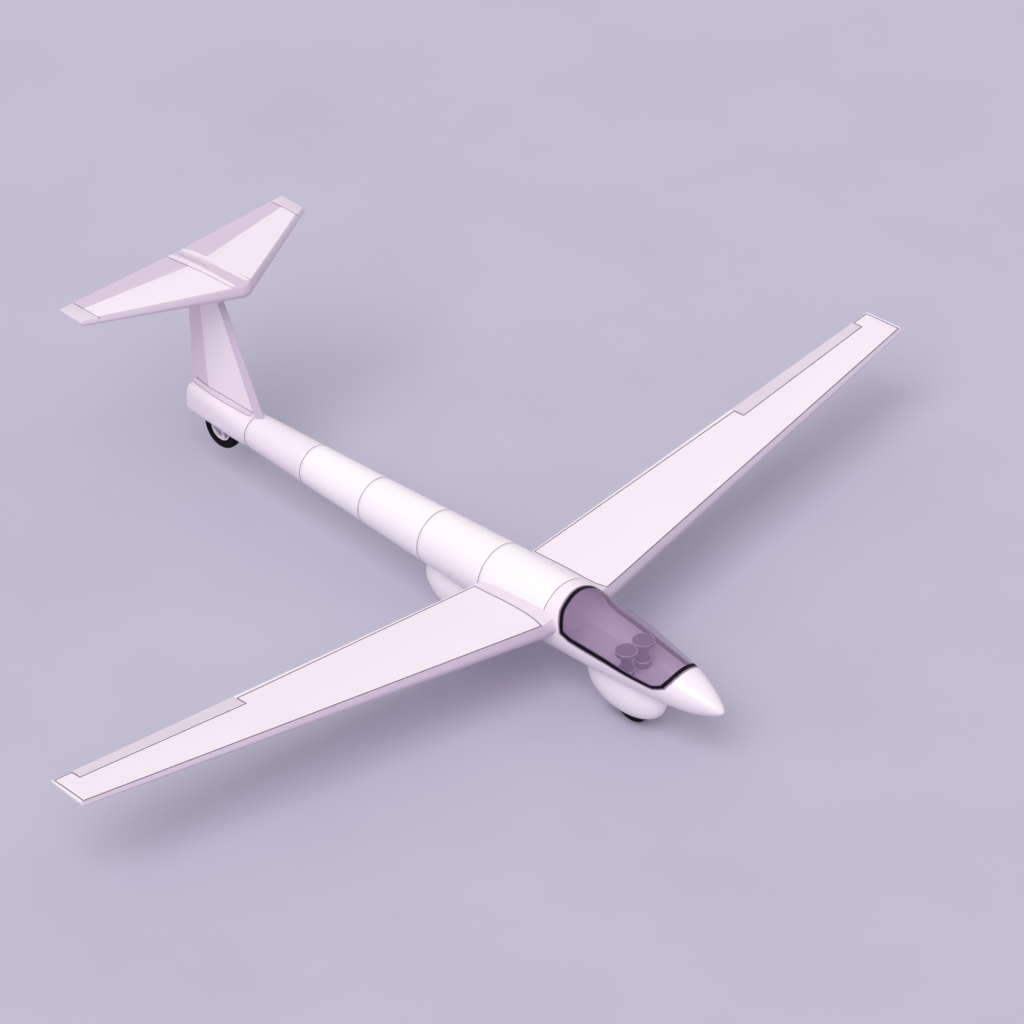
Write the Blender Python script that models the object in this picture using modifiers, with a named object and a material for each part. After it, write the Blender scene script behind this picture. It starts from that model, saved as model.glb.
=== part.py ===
"""Sailplane glider with a T-tail, two wheel pods in line and a tail wheel, as separate solids.

Units are metres, +Z is up, the nose points along -Y and the port wing along +X.
The origin is on the floor under the middle of the aircraft's bounding box.
"""

import math

import bmesh
import bpy
import numpy as np
from mathutils import Matrix, Vector

# Gap between solids that touch, and running clearance of what moves
SEAT_GAP = 0.0003
RUNNING_GAP = 0.006

# Fuselage skin, one row per station
# y, half width, z of the widest line, z of the top, z of the belly, squareness
FUSELAGE_STATIONS = (
    (-4.293, 0.004, 0.774, 0.778, 0.770, 2.0),
    (-4.286, 0.022, 0.774, 0.792, 0.756, 2.0),
    (-4.270, 0.042, 0.775, 0.810, 0.740, 2.0),
    (-4.240, 0.065, 0.778, 0.836, 0.719, 2.0),
    (-4.200, 0.089, 0.783, 0.863, 0.698, 2.0),
    (-4.140, 0.119, 0.790, 0.899, 0.673, 2.0),
    (-4.020, 0.170, 0.803, 0.960, 0.631, 2.0),
    (-3.870, 0.223, 0.820, 1.019, 0.598, 2.0),
    (-3.690, 0.265, 0.842, 1.073, 0.573, 2.0),
    (-3.400, 0.310, 0.862, 1.130, 0.548, 2.0),
    (-3.140, 0.337, 0.866, 1.205, 0.535, 2.0),
    (-2.850, 0.361, 0.874, 1.262, 0.525, 2.0),
    (-2.600, 0.380, 0.885, 1.281, 0.520, 2.0),
    (-2.300, 0.393, 0.898, 1.287, 0.516, 2.0),
    (-1.940, 0.397, 0.903, 1.300, 0.506, 2.0),
    (-0.940, 0.366, 0.912, 1.278, 0.546, 2.0),
    (0.051, 0.325, 0.912, 1.237, 0.587, 2.0),
    (1.034, 0.284, 0.912, 1.196, 0.628, 2.0),
    (2.020, 0.246, 0.914, 1.160, 0.668, 2.0),
    (2.970, 0.208, 0.920, 1.128, 0.712, 2.0),
)
RING_SEGMENTS = 32
NOSE_CUT_Y = -3.930
COCKPIT_REAR_Y = -1.940
# Ring seams aft of the cockpit: node name, front y, rear y, loft steps
BARREL_SECTIONS = (
    ("fuselage_centre", -1.940, -0.940, 2),
    ("boom_1", -0.940, 0.051, 1),
    ("boom_2", 0.051, 1.034, 1),
    ("boom_3", 1.034, 2.020, 1),
    ("boom_4", 2.020, 2.970, 1),
)
# Wall of the ring sections and the tail block, and skin of the fin and tailplane
SHELL_WALL = 0.016
SURFACE_SKIN = 0.008

# Tail block behind the boom
# y, half width, z of the widest line, z of the top, z of the belly, squareness
TAIL_STATIONS = (
    (2.970, 0.208, 0.920, 1.128, 0.712, 2.0),
    (3.200, 0.196, 0.925, 1.130, 0.722, 2.5),
    (3.600, 0.174, 0.932, 1.131, 0.742, 3.2),
    (3.930, 0.154, 0.940, 1.132, 0.760, 3.8),
    (3.985, 0.140, 0.940, 1.120, 0.772, 3.6),
    (4.005, 0.112, 0.940, 1.090, 0.800, 3.2),
)

# Cockpit: skin, floor and the side view of the canopy's edge
TUB_WALL = 0.022
COCKPIT_INNER_FRONT_Y = -3.850
COCKPIT_INNER_REAR_Y = -1.970
# y, z around the opening, from the top of the rear arch round the sill to the nose
CANOPY_EDGE = (
    (-2.085, 1.500),
    (-2.102, 1.300),
    (-2.128, 1.275),
    (-2.172, 1.184),
    (-2.200, 1.085),
    (-2.250, 0.962),
    (-2.326, 0.925),
    (-2.457, 0.901),
    (-2.672, 0.886),
    (-2.881, 0.867),
    (-3.089, 0.846),
    (-3.293, 0.833),
    (-3.452, 0.826),
    (-3.545, 0.833),
    (-3.624, 0.873),
    (-3.676, 0.930),
    (-3.766, 1.050),
    (-3.800, 1.500),
)
CANOPY_SEAM = 0.0004
CANOPY_FRAME_WIDTH = 0.052
CANOPY_FRAME_DEPTH = 0.020
GLASS_THICKNESS = 0.006
FLOOR_TOP_Z = 0.655
FLOOR_THICKNESS = 0.016
FLOOR_FRONT_Y = -3.560

# Round stools on the cockpit floor: turned profile, radius and height above the floor
STOOL_X = 0.129
STOOL_Y = -2.977
STOOL_PROFILE = (
    (0.000, 0.350),
    (0.118, 0.350),
    (0.125, 0.342),
    (0.125, 0.288),
    (0.070, 0.268),
    (0.061, 0.245),
    (0.061, 0.130),
    (0.097, 0.092),
    (0.097, 0.045),
    (0.080, 0.000),
    (0.000, 0.000),
)

# Canopy hinges on the port sill: three knuckles at each, the middle one on the tub
CANOPY_HINGE_Y = (-2.520, -3.080)
HINGE_STANDOFF = 0.011
KNUCKLE_RADIUS = 0.009
KNUCKLE_LENGTH = 0.040
LUG_REACH = 0.029
LUG_HEIGHT = 0.034
LUG_FROM_SILL = 0.004

# Wheels: the same tyre in both pods and under the tail
TYRE_RADIUS = 0.260
TYRE_WIDTH = 0.120
RIM_RADIUS = 0.155
RIM_WIDTH = 0.090
HUB_RADIUS = 0.045
HUB_WIDTH = 0.120
AXLE_RADIUS = 0.016
FRONT_WHEEL_Y = -2.963
REAR_WHEEL_Y = FRONT_WHEEL_Y + 2.510
POD_WHEEL_Z = TYRE_RADIUS
TAIL_WHEEL_Y = 3.555
TAIL_WHEEL_Z = 0.697
BRACKET_THICKNESS = 0.010
BRACKET_HALF_LENGTH = 0.035

# Wheel pods: an ellipsoid set back from the wheel, open underneath
POD_HALF_SIZE = (0.220, 0.560, 0.348)
POD_CENTRE_FROM_WHEEL_Y = 0.090
POD_CENTRE_Z = 0.425
POD_PITCH = math.radians(4)
WELL_HALF_WIDTH = 0.078
WELL_HALF_LENGTH = 0.290
WELL_TOP_Z = 0.560

# Wing outline: x, leading edge y, trailing edge y, z of the upper skin at the front
# and back, thickness
WING_ROOT = (0.480, -2.122, -0.975, 1.040, 1.000, 0.172)
WING_TIP = (6.288, -1.192, -0.650, 1.312, 1.302, 0.052)
WING_JOIN_X = 0.480
WING_TIP_RAKE = 0.033
# Root fairing between the hull and the wing: x, nose y, lift of the upper skin, thickness
FAIRING_SECTIONS = (
    (0.330, -2.200, -0.010, 0.200),
    (0.425, -2.200, -0.004, 0.186),
)
AILERON_X = (3.839, 6.005)
AILERON_HINGE_Y = (-0.9555, -0.7865)
CONTROL_END_GAP = 0.008
CONTROL_PIN_RADIUS = 0.006
PIN_LENGTH = 0.040
# Pins of the elevators, whose hinge line isn't square to their ends
SLANTED_PIN_GAP = 0.0006

# Fin and rudder: z, leading edge y, hinge y, trailing edge y, half thickness
FIN_BASE = (1.190, 2.885, 3.750, 4.045, 0.056)
FIN_TOP = (2.655, 3.588, 3.905, 4.078, 0.038)
RUDDER_TOP_Z = 2.645
FIN_FAIRING_TOP_Z = 1.190
FIN_FAIRING_HALF_WIDTH = 0.066
FIN_FAIRING_Y = (2.865, 3.985)

# Tailplane: x, leading edge y, hinge y, trailing edge y, z of the upper skin at the
# front and back, thickness
TAILPLANE_ROOT = (0.130, 3.105, 3.930, 4.262, 2.815, 2.735, 0.140)
TAILPLANE_TIP = (1.700, 3.935, 4.160, 4.312, 2.722, 2.722, 0.055)
END_CAP_X = 1.510
CENTRE_HALF_WIDTH = 0.130
# The leading edge sweeps on over the centre block and is square to the flow only here
CENTRE_NOSE_HALF_WIDTH = 0.048


def clear_scene():
    for item in list(bpy.data.objects):
        bpy.data.objects.remove(item, do_unlink=True)


def new_collection(name):
    collection = bpy.data.collections.new(name)
    bpy.context.scene.collection.children.link(collection)
    return collection


def new_material(name, colour, roughness, metallic=0.0):
    material = bpy.data.materials.new(name)
    material.use_nodes = True
    shader = material.node_tree.nodes["Principled BSDF"]
    shader.inputs["Base Color"].default_value = (*colour, 1.0)
    shader.inputs["Roughness"].default_value = roughness
    shader.inputs["Metallic"].default_value = metallic
    return material


def mesh_object(name, vertices, faces, material, collection):
    mesh = bpy.data.meshes.new(name)
    mesh.from_pydata([tuple(v) for v in vertices], [], faces)
    work = bmesh.new()
    work.from_mesh(mesh)
    bmesh.ops.recalc_face_normals(work, faces=work.faces)
    work.to_mesh(mesh)
    work.free()
    mesh.shade_smooth()
    mesh.set_sharp_from_angle(angle=math.radians(35))
    if material:
        mesh.materials.append(material)
    item = bpy.data.objects.new(name, mesh)
    collection.objects.link(item)
    return item


def loft(name, rings, material, collection):
    """Skin a row of equal rings of points with triangles and close both ends."""
    count = len(rings[0])
    vertices = np.vstack(rings)
    faces = [list(range(count)), list(range(len(vertices) - count, len(vertices)))]
    for row in range(len(rings) - 1):
        start = row * count
        for i in range(count):
            j = (i + 1) % count
            faces.append([start + i, start + j, start + count + j])
            faces.append([start + i, start + count + j, start + count + i])
    return mesh_object(name, vertices, faces, material, collection)


def as_cutter(item):
    item.hide_render = True
    item.display_type = "WIRE"
    return item


def boolean(item, other, operation):
    step = item.modifiers.new(operation.lower(), "BOOLEAN")
    step.operation = operation
    step.solver = "EXACT"
    step.object = other
    return item


def box(name, low, high, material, collection):
    work = bmesh.new()
    size = [b - a for a, b in zip(low, high)]
    centre = [(a + b) / 2 for a, b in zip(low, high)]
    place = Matrix.Translation(centre) @ Matrix.Diagonal((*size, 1.0))
    bmesh.ops.create_cube(work, size=1.0, matrix=place)
    mesh = bpy.data.meshes.new(name)
    work.to_mesh(mesh)
    work.free()
    if material:
        mesh.materials.append(material)
    item = bpy.data.objects.new(name, mesh)
    collection.objects.link(item)
    return item


def rod(name, start, end, radius, material, collection, segments=16):
    """A round rod between two points, as one closed cylinder."""
    start = Vector(start)
    span = Vector(end) - start
    work = bmesh.new()
    bmesh.ops.create_cone(
        work, cap_ends=True, segments=segments, radius1=radius, radius2=radius, depth=span.length
    )
    mesh = bpy.data.meshes.new(name)
    work.to_mesh(mesh)
    work.free()
    mesh.shade_smooth()
    mesh.set_sharp_from_angle(angle=math.radians(35))
    if material:
        mesh.materials.append(material)
    item = bpy.data.objects.new(name, mesh)
    item.location = start + span / 2
    item.rotation_mode = "QUATERNION"
    item.rotation_quaternion = Vector((0, 0, 1)).rotation_difference(span)
    collection.objects.link(item)
    return item


def turned(name, profile, closed, steps, material, collection):
    """Turn a profile of radius and height about Z with a Screw modifier."""
    mesh = bpy.data.meshes.new(name)
    edges = [(i, i + 1) for i in range(len(profile) - 1)]
    if closed:
        edges.append((len(profile) - 1, 0))
    mesh.from_pydata([(radius, 0.0, height) for radius, height in profile], edges, [])
    if material:
        mesh.materials.append(material)
    item = bpy.data.objects.new(name, mesh)
    screw = item.modifiers.new("turn", "SCREW")
    screw.steps = steps
    screw.render_steps = steps
    screw.use_smooth_shade = True
    screw.use_merge_vertices = True
    screw.merge_threshold = 0.0001
    collection.objects.link(item)
    return item


def pin(name, start, end, square_to, cutters):
    """Hinge pin between two points, its end faces square to one coordinate axis."""
    angles = np.linspace(0, 2 * np.pi, 12, endpoint=False)
    first, second = [i for i in range(3) if i != square_to]
    rings = []
    for point in (start, end):
        ring = np.tile(np.array(point, float), (len(angles), 1))
        ring[:, first] += CONTROL_PIN_RADIUS * np.cos(angles)
        ring[:, second] += CONTROL_PIN_RADIUS * np.sin(angles)
        rings.append(ring)
    return as_cutter(loft(name, rings, None, cutters))


def along_line(start, end, index, value):
    """Point on the line through two points where one coordinate has a given value."""
    start = np.array(start, float)
    end = np.array(end, float)
    share = (value - start[index]) / (end[index] - start[index])
    return start + share * (end - start)


def set_origin(item, point):
    """Put an object's origin on its joint axis and leave its shape where it is."""
    item.data.transform(Matrix.Translation(-Vector(point)))
    item.location = point


def smooth_row(table, y):
    """Read a station table at y along a smooth curve through its rows."""
    rows = np.array(table)
    stations = rows[:, 0]
    slopes = np.gradient(rows, stations, axis=0)
    i = int(np.clip(np.searchsorted(stations, y) - 1, 0, len(stations) - 2))
    span = stations[i + 1] - stations[i]
    t = (y - stations[i]) / span
    row = (
        (1 + 2 * t) * (1 - t) ** 2 * rows[i]
        + t * (1 - t) ** 2 * span * slopes[i]
        + t * t * (3 - 2 * t) * rows[i + 1]
        + t * t * (t - 1) * span * slopes[i + 1]
    )
    row[0] = y
    return row


def body_ring(row, inset=0.0):
    """Cross-section of the fuselage: a rounded oval, its upper and lower halves unlike."""
    y, half_width, z_wide, z_top, z_belly, squareness = row
    angles = np.linspace(0, 2 * np.pi, RING_SEGMENTS, endpoint=False)
    across = np.sign(np.cos(angles)) * np.abs(np.cos(angles)) ** (2 / squareness)
    up = np.sign(np.sin(angles)) * np.abs(np.sin(angles)) ** (2 / squareness)
    height = np.where(up > 0, z_top - z_wide, z_wide - z_belly) - inset
    x = (half_width - inset) * across
    z = z_wide + height * up
    return np.column_stack([x, np.full(RING_SEGMENTS, y), z])


def body_loft(name, table, stations, material, collection, inset=0.0):
    rings = [body_ring(smooth_row(table, y), inset) for y in stations]
    return loft(name, rings, material, collection)


def stations_between(front, rear):
    """The table's own stations between two ends, with one more between each pair."""
    own = [row[0] for row in FUSELAGE_STATIONS if front + 0.02 < row[0] < rear - 0.02]
    ends = [front, *own, rear]
    middles = [(a + b) / 2 for a, b in zip(ends, ends[1:]) if b - a > 0.2]
    return sorted(ends + middles)


def barrel_stations(front, rear, steps):
    return list(np.linspace(front, rear, steps + 1))


def hull_stations():
    """Every station the cockpit tub and the ring sections are lofted through."""
    stations = set(stations_between(NOSE_CUT_Y, COCKPIT_REAR_Y))
    for name, front, rear, steps in BARREL_SECTIONS:
        stations.update(barrel_stations(front, rear, steps))
    return sorted(stations)


def hull_clearance(name, cutters):
    """The hull grown by the seating gap, to cut what sits on it."""
    grown = body_loft(name, FUSELAGE_STATIONS, hull_stations(), None, cutters, -SEAT_GAP)
    return as_cutter(grown)


def tail_clearance(name, cutters):
    """The tail block grown by the seating gap, to cut what sits on it."""
    tail_ys = [row[0] for row in TAIL_STATIONS]
    return as_cutter(body_loft(name, TAIL_STATIONS, tail_ys, None, cutters, -SEAT_GAP))


def side_prism(name, outline, half_width, collection):
    """A side view outline of y and z, carried straight across the aircraft."""
    rings = [np.array([(x, y, z) for y, z in outline]) for x in (-half_width, half_width)]
    return as_cutter(loft(name, rings, None, collection))


def offset_outline(outline, distance):
    """Move each side of an anticlockwise outline inwards by one distance."""
    points = np.array(outline)
    area = 0.5 * np.sum(
        points[:, 0] * np.roll(points[:, 1], -1) - np.roll(points[:, 0], -1) * points[:, 1]
    )
    turn = math.copysign(1.0, area)
    ahead = np.roll(points, -1, axis=0) - points
    ahead /= np.linalg.norm(ahead, axis=1)[:, None]
    normals = turn * np.column_stack([-ahead[:, 1], ahead[:, 0]])
    before = np.roll(normals, 1, axis=0)
    mitre = normals + before
    mitre /= np.sum(mitre * normals, axis=1)[:, None]
    return points + distance * mitre


class Aerofoil:
    """One section of a wing: skin heights along the chord, which runs towards +Y."""

    def __init__(self, leading, trailing, z_front, z_back, thickness):
        self.leading = leading
        self.trailing = trailing
        self.z_front = z_front
        self.z_back = z_back
        self.thickness = thickness
        self.chord = trailing - leading
        self.edge = min(0.006, 0.3 * thickness)

    def along(self, y):
        return (y - self.leading) / self.chord

    def round_in(self, y, length):
        near = np.clip(1 - (y - self.leading) / length, 0, 1)
        return 0.5 * self.thickness * (1 - np.sqrt(1 - near * near))

    def deck(self, y):
        return self.z_front + (self.z_back - self.z_front) * self.along(y)

    def upper(self, y):
        crown = 0.10 * self.thickness * np.sin(np.pi * np.clip(self.along(y), 0, 1)) ** 2
        return self.deck(y) + crown - self.round_in(y, 0.45 * self.thickness)

    def lower(self, y):
        aft = np.clip((self.along(y) - 0.28) / 0.72, 0, 1)
        depth = self.edge + (self.thickness - self.edge) * (1 - aft**1.5)
        return self.deck(y) - depth + self.round_in(y, 0.60 * self.thickness)

    def middle(self, y):
        return 0.5 * (self.upper(y) + self.lower(y))

    def half_depth(self, y):
        return 0.5 * (self.upper(y) - self.lower(y))

    def upper_points(self, rear):
        """Points from the nose along the top to y = rear."""
        nose = 0.45 * self.thickness
        curve = self.leading + nose * (1 - np.cos(np.linspace(0, np.pi / 2, 5)))
        flat = np.linspace(self.leading + nose, rear, 6)[1:]
        y = np.concatenate([curve, flat])
        return np.column_stack([y, self.upper(y)])

    def lower_points(self, rear):
        """Points from y = rear along the underside to just under the nose."""
        nose = 0.60 * self.thickness
        curve = self.leading + nose * (1 - np.cos(np.linspace(0, np.pi / 2, 5)))[1:]
        flat = np.linspace(self.leading + nose, rear, 5)[1:]
        y = np.concatenate([curve, flat])[::-1]
        return np.column_stack([y, self.lower(y)])

    def whole(self):
        return np.vstack([self.upper_points(self.trailing), self.lower_points(self.trailing)])

    def fixed_part(self, hinge):
        """The section ahead of a hinge, ending in a hollow that clears the flap's nose."""
        radius = self.half_depth(hinge) + RUNNING_GAP
        lip = 0.40 * radius
        arc = np.linspace(math.radians(66), math.radians(-66), 7)
        hollow = np.column_stack(
            [hinge - radius * np.cos(arc), self.middle(hinge) + radius * np.sin(arc)]
        )
        rear = hinge - lip
        top = self.upper_points(rear - 0.004)
        bottom = self.lower_points(rear - 0.004)
        return np.vstack([top, hollow, bottom])

    def flap(self, hinge):
        """The moving part: a round nose about the hinge, then both skins to the back."""
        radius = self.half_depth(hinge)
        arc = np.linspace(math.radians(-90), math.radians(-270), 9)
        nose = np.column_stack(
            [hinge + radius * np.cos(arc), self.middle(hinge) + radius * np.sin(arc)]
        )
        y = np.linspace(hinge, self.trailing, 5)[1:]
        top = np.column_stack([y, self.upper(y)])
        bottom = np.column_stack([y, self.lower(y)])[::-1]
        return np.vstack([nose, top, bottom])


def blend_rows(first, last, x):
    """Row of numbers at x on the straight line between two rows that begin with x."""
    share = (x - first[0]) / (last[0] - first[0])
    return [a + share * (b - a) for a, b in zip(first, last)]


def at_x(points, x):
    return np.column_stack([np.full(len(points), x), points])


def mirrored(rings, side):
    return [ring * np.array([side, 1.0, 1.0]) for ring in rings]


def wing_section(x):
    row = blend_rows(WING_ROOT, WING_TIP, x)
    return Aerofoil(*row[1:])


def aileron_hinge(x):
    """Hinge point of the aileron at x: its y and its height."""
    share = (x - AILERON_X[0]) / (AILERON_X[1] - AILERON_X[0])
    y = AILERON_HINGE_Y[0] + share * (AILERON_HINGE_Y[1] - AILERON_HINGE_Y[0])
    return y, wing_section(x).middle(y)


def tailplane_section(x):
    row = blend_rows(TAILPLANE_ROOT, TAILPLANE_TIP, x)
    leading, hinge, trailing, z_front, z_back, thickness = row[1:]
    return Aerofoil(leading, trailing, z_front, z_back, thickness), hinge


def fin_section(z):
    """The fin and rudder share one section, lying on its side and symmetric about x = 0."""
    leading, hinge, trailing, half = blend_rows(FIN_BASE, FIN_TOP, z)[1:]
    return leading, hinge, trailing, half


def rudder_hinge(z):
    return (0.0, fin_section(z)[1], z)


def fin_half_width(z, y):
    leading, hinge, trailing, half = fin_section(z)
    f = (np.asarray(y) - leading) / (trailing - leading)
    nose = np.clip(1 - f / 0.14, 0, 1)
    fullness = np.sqrt(1 - nose * nose)
    taper = 1 - np.clip((f - 0.40) / 0.60, 0, 1) ** 1.4
    return half * fullness * taper + 0.003 * np.clip(f / 0.5, 0, 1)


def build_fuselage(skin, parts, cutters):
    """Nose, hollow cockpit tub, ring sections and tail block."""
    nose_ys = [row[0] for row in FUSELAGE_STATIONS if row[0] < NOSE_CUT_Y]
    nose_ys.append(NOSE_CUT_Y - SEAT_GAP)
    nose_ys = sorted(nose_ys + [(a + b) / 2 for a, b in zip(nose_ys, nose_ys[1:])])
    body_loft("nose_cone", FUSELAGE_STATIONS, nose_ys, skin, parts)

    tub_ys = stations_between(NOSE_CUT_Y, COCKPIT_REAR_Y)
    tub = body_loft("cockpit_tub", FUSELAGE_STATIONS, tub_ys, skin, parts)
    inner_ys = stations_between(COCKPIT_INNER_FRONT_Y, COCKPIT_INNER_REAR_Y)
    inner = body_loft("cockpit_hollow", FUSELAGE_STATIONS, inner_ys, None, cutters, TUB_WALL)
    opening = side_prism("canopy_opening", CANOPY_EDGE, 0.6, cutters)
    boolean(tub, as_cutter(inner), "DIFFERENCE")
    boolean(tub, opening, "DIFFERENCE")

    bore_ys = [y for y in hull_stations() if y > COCKPIT_REAR_Y]
    bore_ys = [COCKPIT_REAR_Y - 0.010, *bore_ys, TAIL_STATIONS[0][0] + 0.010]
    bore = body_loft("barrel_hollow", FUSELAGE_STATIONS, bore_ys, None, cutters, SHELL_WALL)
    for name, front, rear, steps in BARREL_SECTIONS:
        ys = barrel_stations(front, rear, steps)
        ys[0] += SEAT_GAP
        ring = body_loft(name, FUSELAGE_STATIONS, ys, skin, parts)
        boolean(ring, as_cutter(bore), "DIFFERENCE")

    tail_ys = [row[0] for row in TAIL_STATIONS]
    inner_ys = [tail_ys[0] - 0.010, *tail_ys[1:-1]]
    inner = body_loft("tail_hollow", TAIL_STATIONS, inner_ys, None, cutters, SHELL_WALL)
    tail_ys[0] += SEAT_GAP
    tail = body_loft("tail_block", TAIL_STATIONS, tail_ys, skin, parts)
    boolean(tail, as_cutter(inner), "DIFFERENCE")
    well = box(
        "tail_well",
        (-WELL_HALF_WIDTH, TAIL_WHEEL_Y - WELL_HALF_LENGTH, 0.5),
        (WELL_HALF_WIDTH, TAIL_WHEEL_Y + WELL_HALF_LENGTH, TAIL_WHEEL_Z + TYRE_RADIUS + 0.020),
        None,
        cutters,
    )
    boolean(tail, as_cutter(well), "DIFFERENCE")
    return tub


def hinge_point(y):
    """Point of the canopy's hinge line beside the port sill at one of its hinges."""
    edge = sorted(row for row in CANOPY_EDGE if row[1] < 1.0)
    z = float(np.interp(y, [row[0] for row in edge], [row[1] for row in edge]))
    half_width, z_wide, z_top, z_belly = smooth_row(FUSELAGE_STATIONS, y)[1:5]
    height = z_top - z_wide if z > z_wide else z_wide - z_belly
    skin_x = half_width * math.sqrt(1 - ((z - z_wide) / height) ** 2)
    return Vector((skin_x + HINGE_STANDOFF, y, z))


def add_knuckle(carrier, name, centre, along, up, cutters):
    """Join a knuckle, and the lug that carries it above or below the sill, to its carrier."""
    half = along * KNUCKLE_LENGTH / 2
    knuckle = rod(name, centre - half, centre + half, KNUCKLE_RADIUS, None, cutters, 12)
    ends = sorted((up * LUG_FROM_SILL, up * LUG_HEIGHT))
    lug = box(
        f"{name}_lug",
        (centre.x - LUG_REACH, centre.y - 0.45 * KNUCKLE_LENGTH, centre.z + ends[0]),
        (centre.x + 0.5 * KNUCKLE_RADIUS, centre.y + 0.45 * KNUCKLE_LENGTH, centre.z + ends[1]),
        None,
        cutters,
    )
    boolean(carrier, as_cutter(lug), "UNION")
    boolean(carrier, as_cutter(knuckle), "UNION")


def build_canopy(tub, glass, frame_paint, parts, cutters):
    """Glass and frame cut from one shell of the fuselage's own form, and the port hinges."""
    ys = stations_between(NOSE_CUT_Y, COCKPIT_REAR_Y)
    inner_ys = stations_between(COCKPIT_INNER_FRONT_Y - 0.02, COCKPIT_INNER_REAR_Y + 0.02)
    lid = side_prism("canopy_lid", offset_outline(CANOPY_EDGE, CANOPY_SEAM), 0.6, cutters)
    pane_edge = offset_outline(CANOPY_EDGE, CANOPY_SEAM + CANOPY_FRAME_WIDTH)
    pane_hole = side_prism("canopy_pane_hole", pane_edge, 0.7, cutters)
    pane_edge = offset_outline(CANOPY_EDGE, CANOPY_SEAM + CANOPY_FRAME_WIDTH + SEAT_GAP)
    pane = side_prism("canopy_pane", pane_edge, 0.6, cutters)

    frame = body_loft("canopy_frame", FUSELAGE_STATIONS, ys, frame_paint, parts)
    deep = body_loft(
        "frame_hollow", FUSELAGE_STATIONS, inner_ys, None, cutters, CANOPY_FRAME_DEPTH
    )
    boolean(frame, as_cutter(deep), "DIFFERENCE")
    boolean(frame, lid, "INTERSECT")
    boolean(frame, pane_hole, "DIFFERENCE")

    window = body_loft("canopy_glass", FUSELAGE_STATIONS, ys, glass, parts)
    thin = body_loft("glass_hollow", FUSELAGE_STATIONS, inner_ys, None, cutters, GLASS_THICKNESS)
    boolean(window, as_cutter(thin), "DIFFERENCE")
    boolean(window, pane, "INTERSECT")

    rear, front = [hinge_point(y) for y in CANOPY_HINGE_Y]
    along = (front - rear).normalized()
    for label, centre in (("rear", rear), ("front", front)):
        add_knuckle(tub, f"tub_knuckle_{label}", centre, along, -1, cutters)
        for shift in (-1, 1):
            beside = centre + along * shift * (KNUCKLE_LENGTH + SEAT_GAP)
            add_knuckle(frame, f"lid_knuckle_{label}_{shift}", beside, along, 1, cutters)
    for item in (frame, window):
        set_origin(item, rear)


def build_wheel_pods(skin, parts, cutters):
    """Two equal fairings under the fuselage, each round a wheel well open below."""
    hull = hull_clearance("hull_clear", cutters)
    for name, wheel_y in (("front", FRONT_WHEEL_Y), ("rear", REAR_WHEEL_Y)):
        work = bmesh.new()
        centre = (0, wheel_y + POD_CENTRE_FROM_WHEEL_Y, POD_CENTRE_Z)
        tilted = Matrix.Translation(centre) @ Matrix.Rotation(POD_PITCH, 4, "X")
        lying = tilted @ Matrix.Diagonal((*POD_HALF_SIZE, 1.0)) @ Matrix.Rotation(math.radians(90), 4, "X")
        bmesh.ops.create_uvsphere(work, u_segments=24, v_segments=16, radius=1.0, matrix=lying)
        mesh = bpy.data.meshes.new(f"{name}_wheel_pod")
        bmesh.ops.recalc_face_normals(work, faces=work.faces)
        work.to_mesh(mesh)
        work.free()
        mesh.shade_smooth()
        mesh.materials.append(skin)
        pod = bpy.data.objects.new(f"{name}_wheel_pod", mesh)
        parts.objects.link(pod)
        well = box(
            f"{name}_well",
            (-WELL_HALF_WIDTH, wheel_y - WELL_HALF_LENGTH, -0.1),
            (WELL_HALF_WIDTH, wheel_y + WELL_HALF_LENGTH, WELL_TOP_Z),
            None,
            cutters,
        )
        as_cutter(well)
        boolean(pod, hull, "DIFFERENCE")
        boolean(pod, well, "DIFFERENCE")


def build_wheels(rubber, rim_paint, steel, parts):
    """Tyre, wheel and axle for each pod and for the tail."""
    half = TYRE_WIDTH / 2
    tyre_profile = (
        (RIM_RADIUS + SEAT_GAP, 0.75 * half),
        (0.185, 0.97 * half),
        (0.215, half),
        (0.242, 0.88 * half),
        (0.256, 0.62 * half),
        (TYRE_RADIUS, 0.36 * half),
        (TYRE_RADIUS, -0.36 * half),
        (0.256, -0.62 * half),
        (0.242, -0.88 * half),
        (0.215, -half),
        (0.185, -0.97 * half),
        (RIM_RADIUS + SEAT_GAP, -0.75 * half),
    )
    web = 0.008
    bore = AXLE_RADIUS + SEAT_GAP
    rim = RIM_WIDTH / 2
    hub = HUB_WIDTH / 2
    wheel_profile = (
        (bore, hub),
        (HUB_RADIUS, hub),
        (HUB_RADIUS + 0.006, web),
        (RIM_RADIUS - 0.018, web),
        (RIM_RADIUS - 0.012, rim),
        (RIM_RADIUS, rim),
        (RIM_RADIUS, -rim),
        (RIM_RADIUS - 0.012, -rim),
        (RIM_RADIUS - 0.018, -web),
        (HUB_RADIUS + 0.006, -web),
        (HUB_RADIUS, -hub),
        (bore, -hub),
    )
    places = (
        ("front", FRONT_WHEEL_Y, POD_WHEEL_Z),
        ("rear", REAR_WHEEL_Y, POD_WHEEL_Z),
        ("tail", TAIL_WHEEL_Y, TAIL_WHEEL_Z),
    )
    for name, y, z in places:
        tyre = turned(f"{name}_tyre", tyre_profile, True, 28, rubber, parts)
        wheel = turned(f"{name}_wheel", wheel_profile, True, 28, rim_paint, parts)
        for item in (tyre, wheel):
            item.location = (0, y, z)
            item.rotation_euler = (0, math.radians(90), 0)
        end = WELL_HALF_WIDTH - SEAT_GAP
        rod(f"{name}_axle", (-end, y, z), (end, y, z), AXLE_RADIUS, steel, parts)


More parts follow.
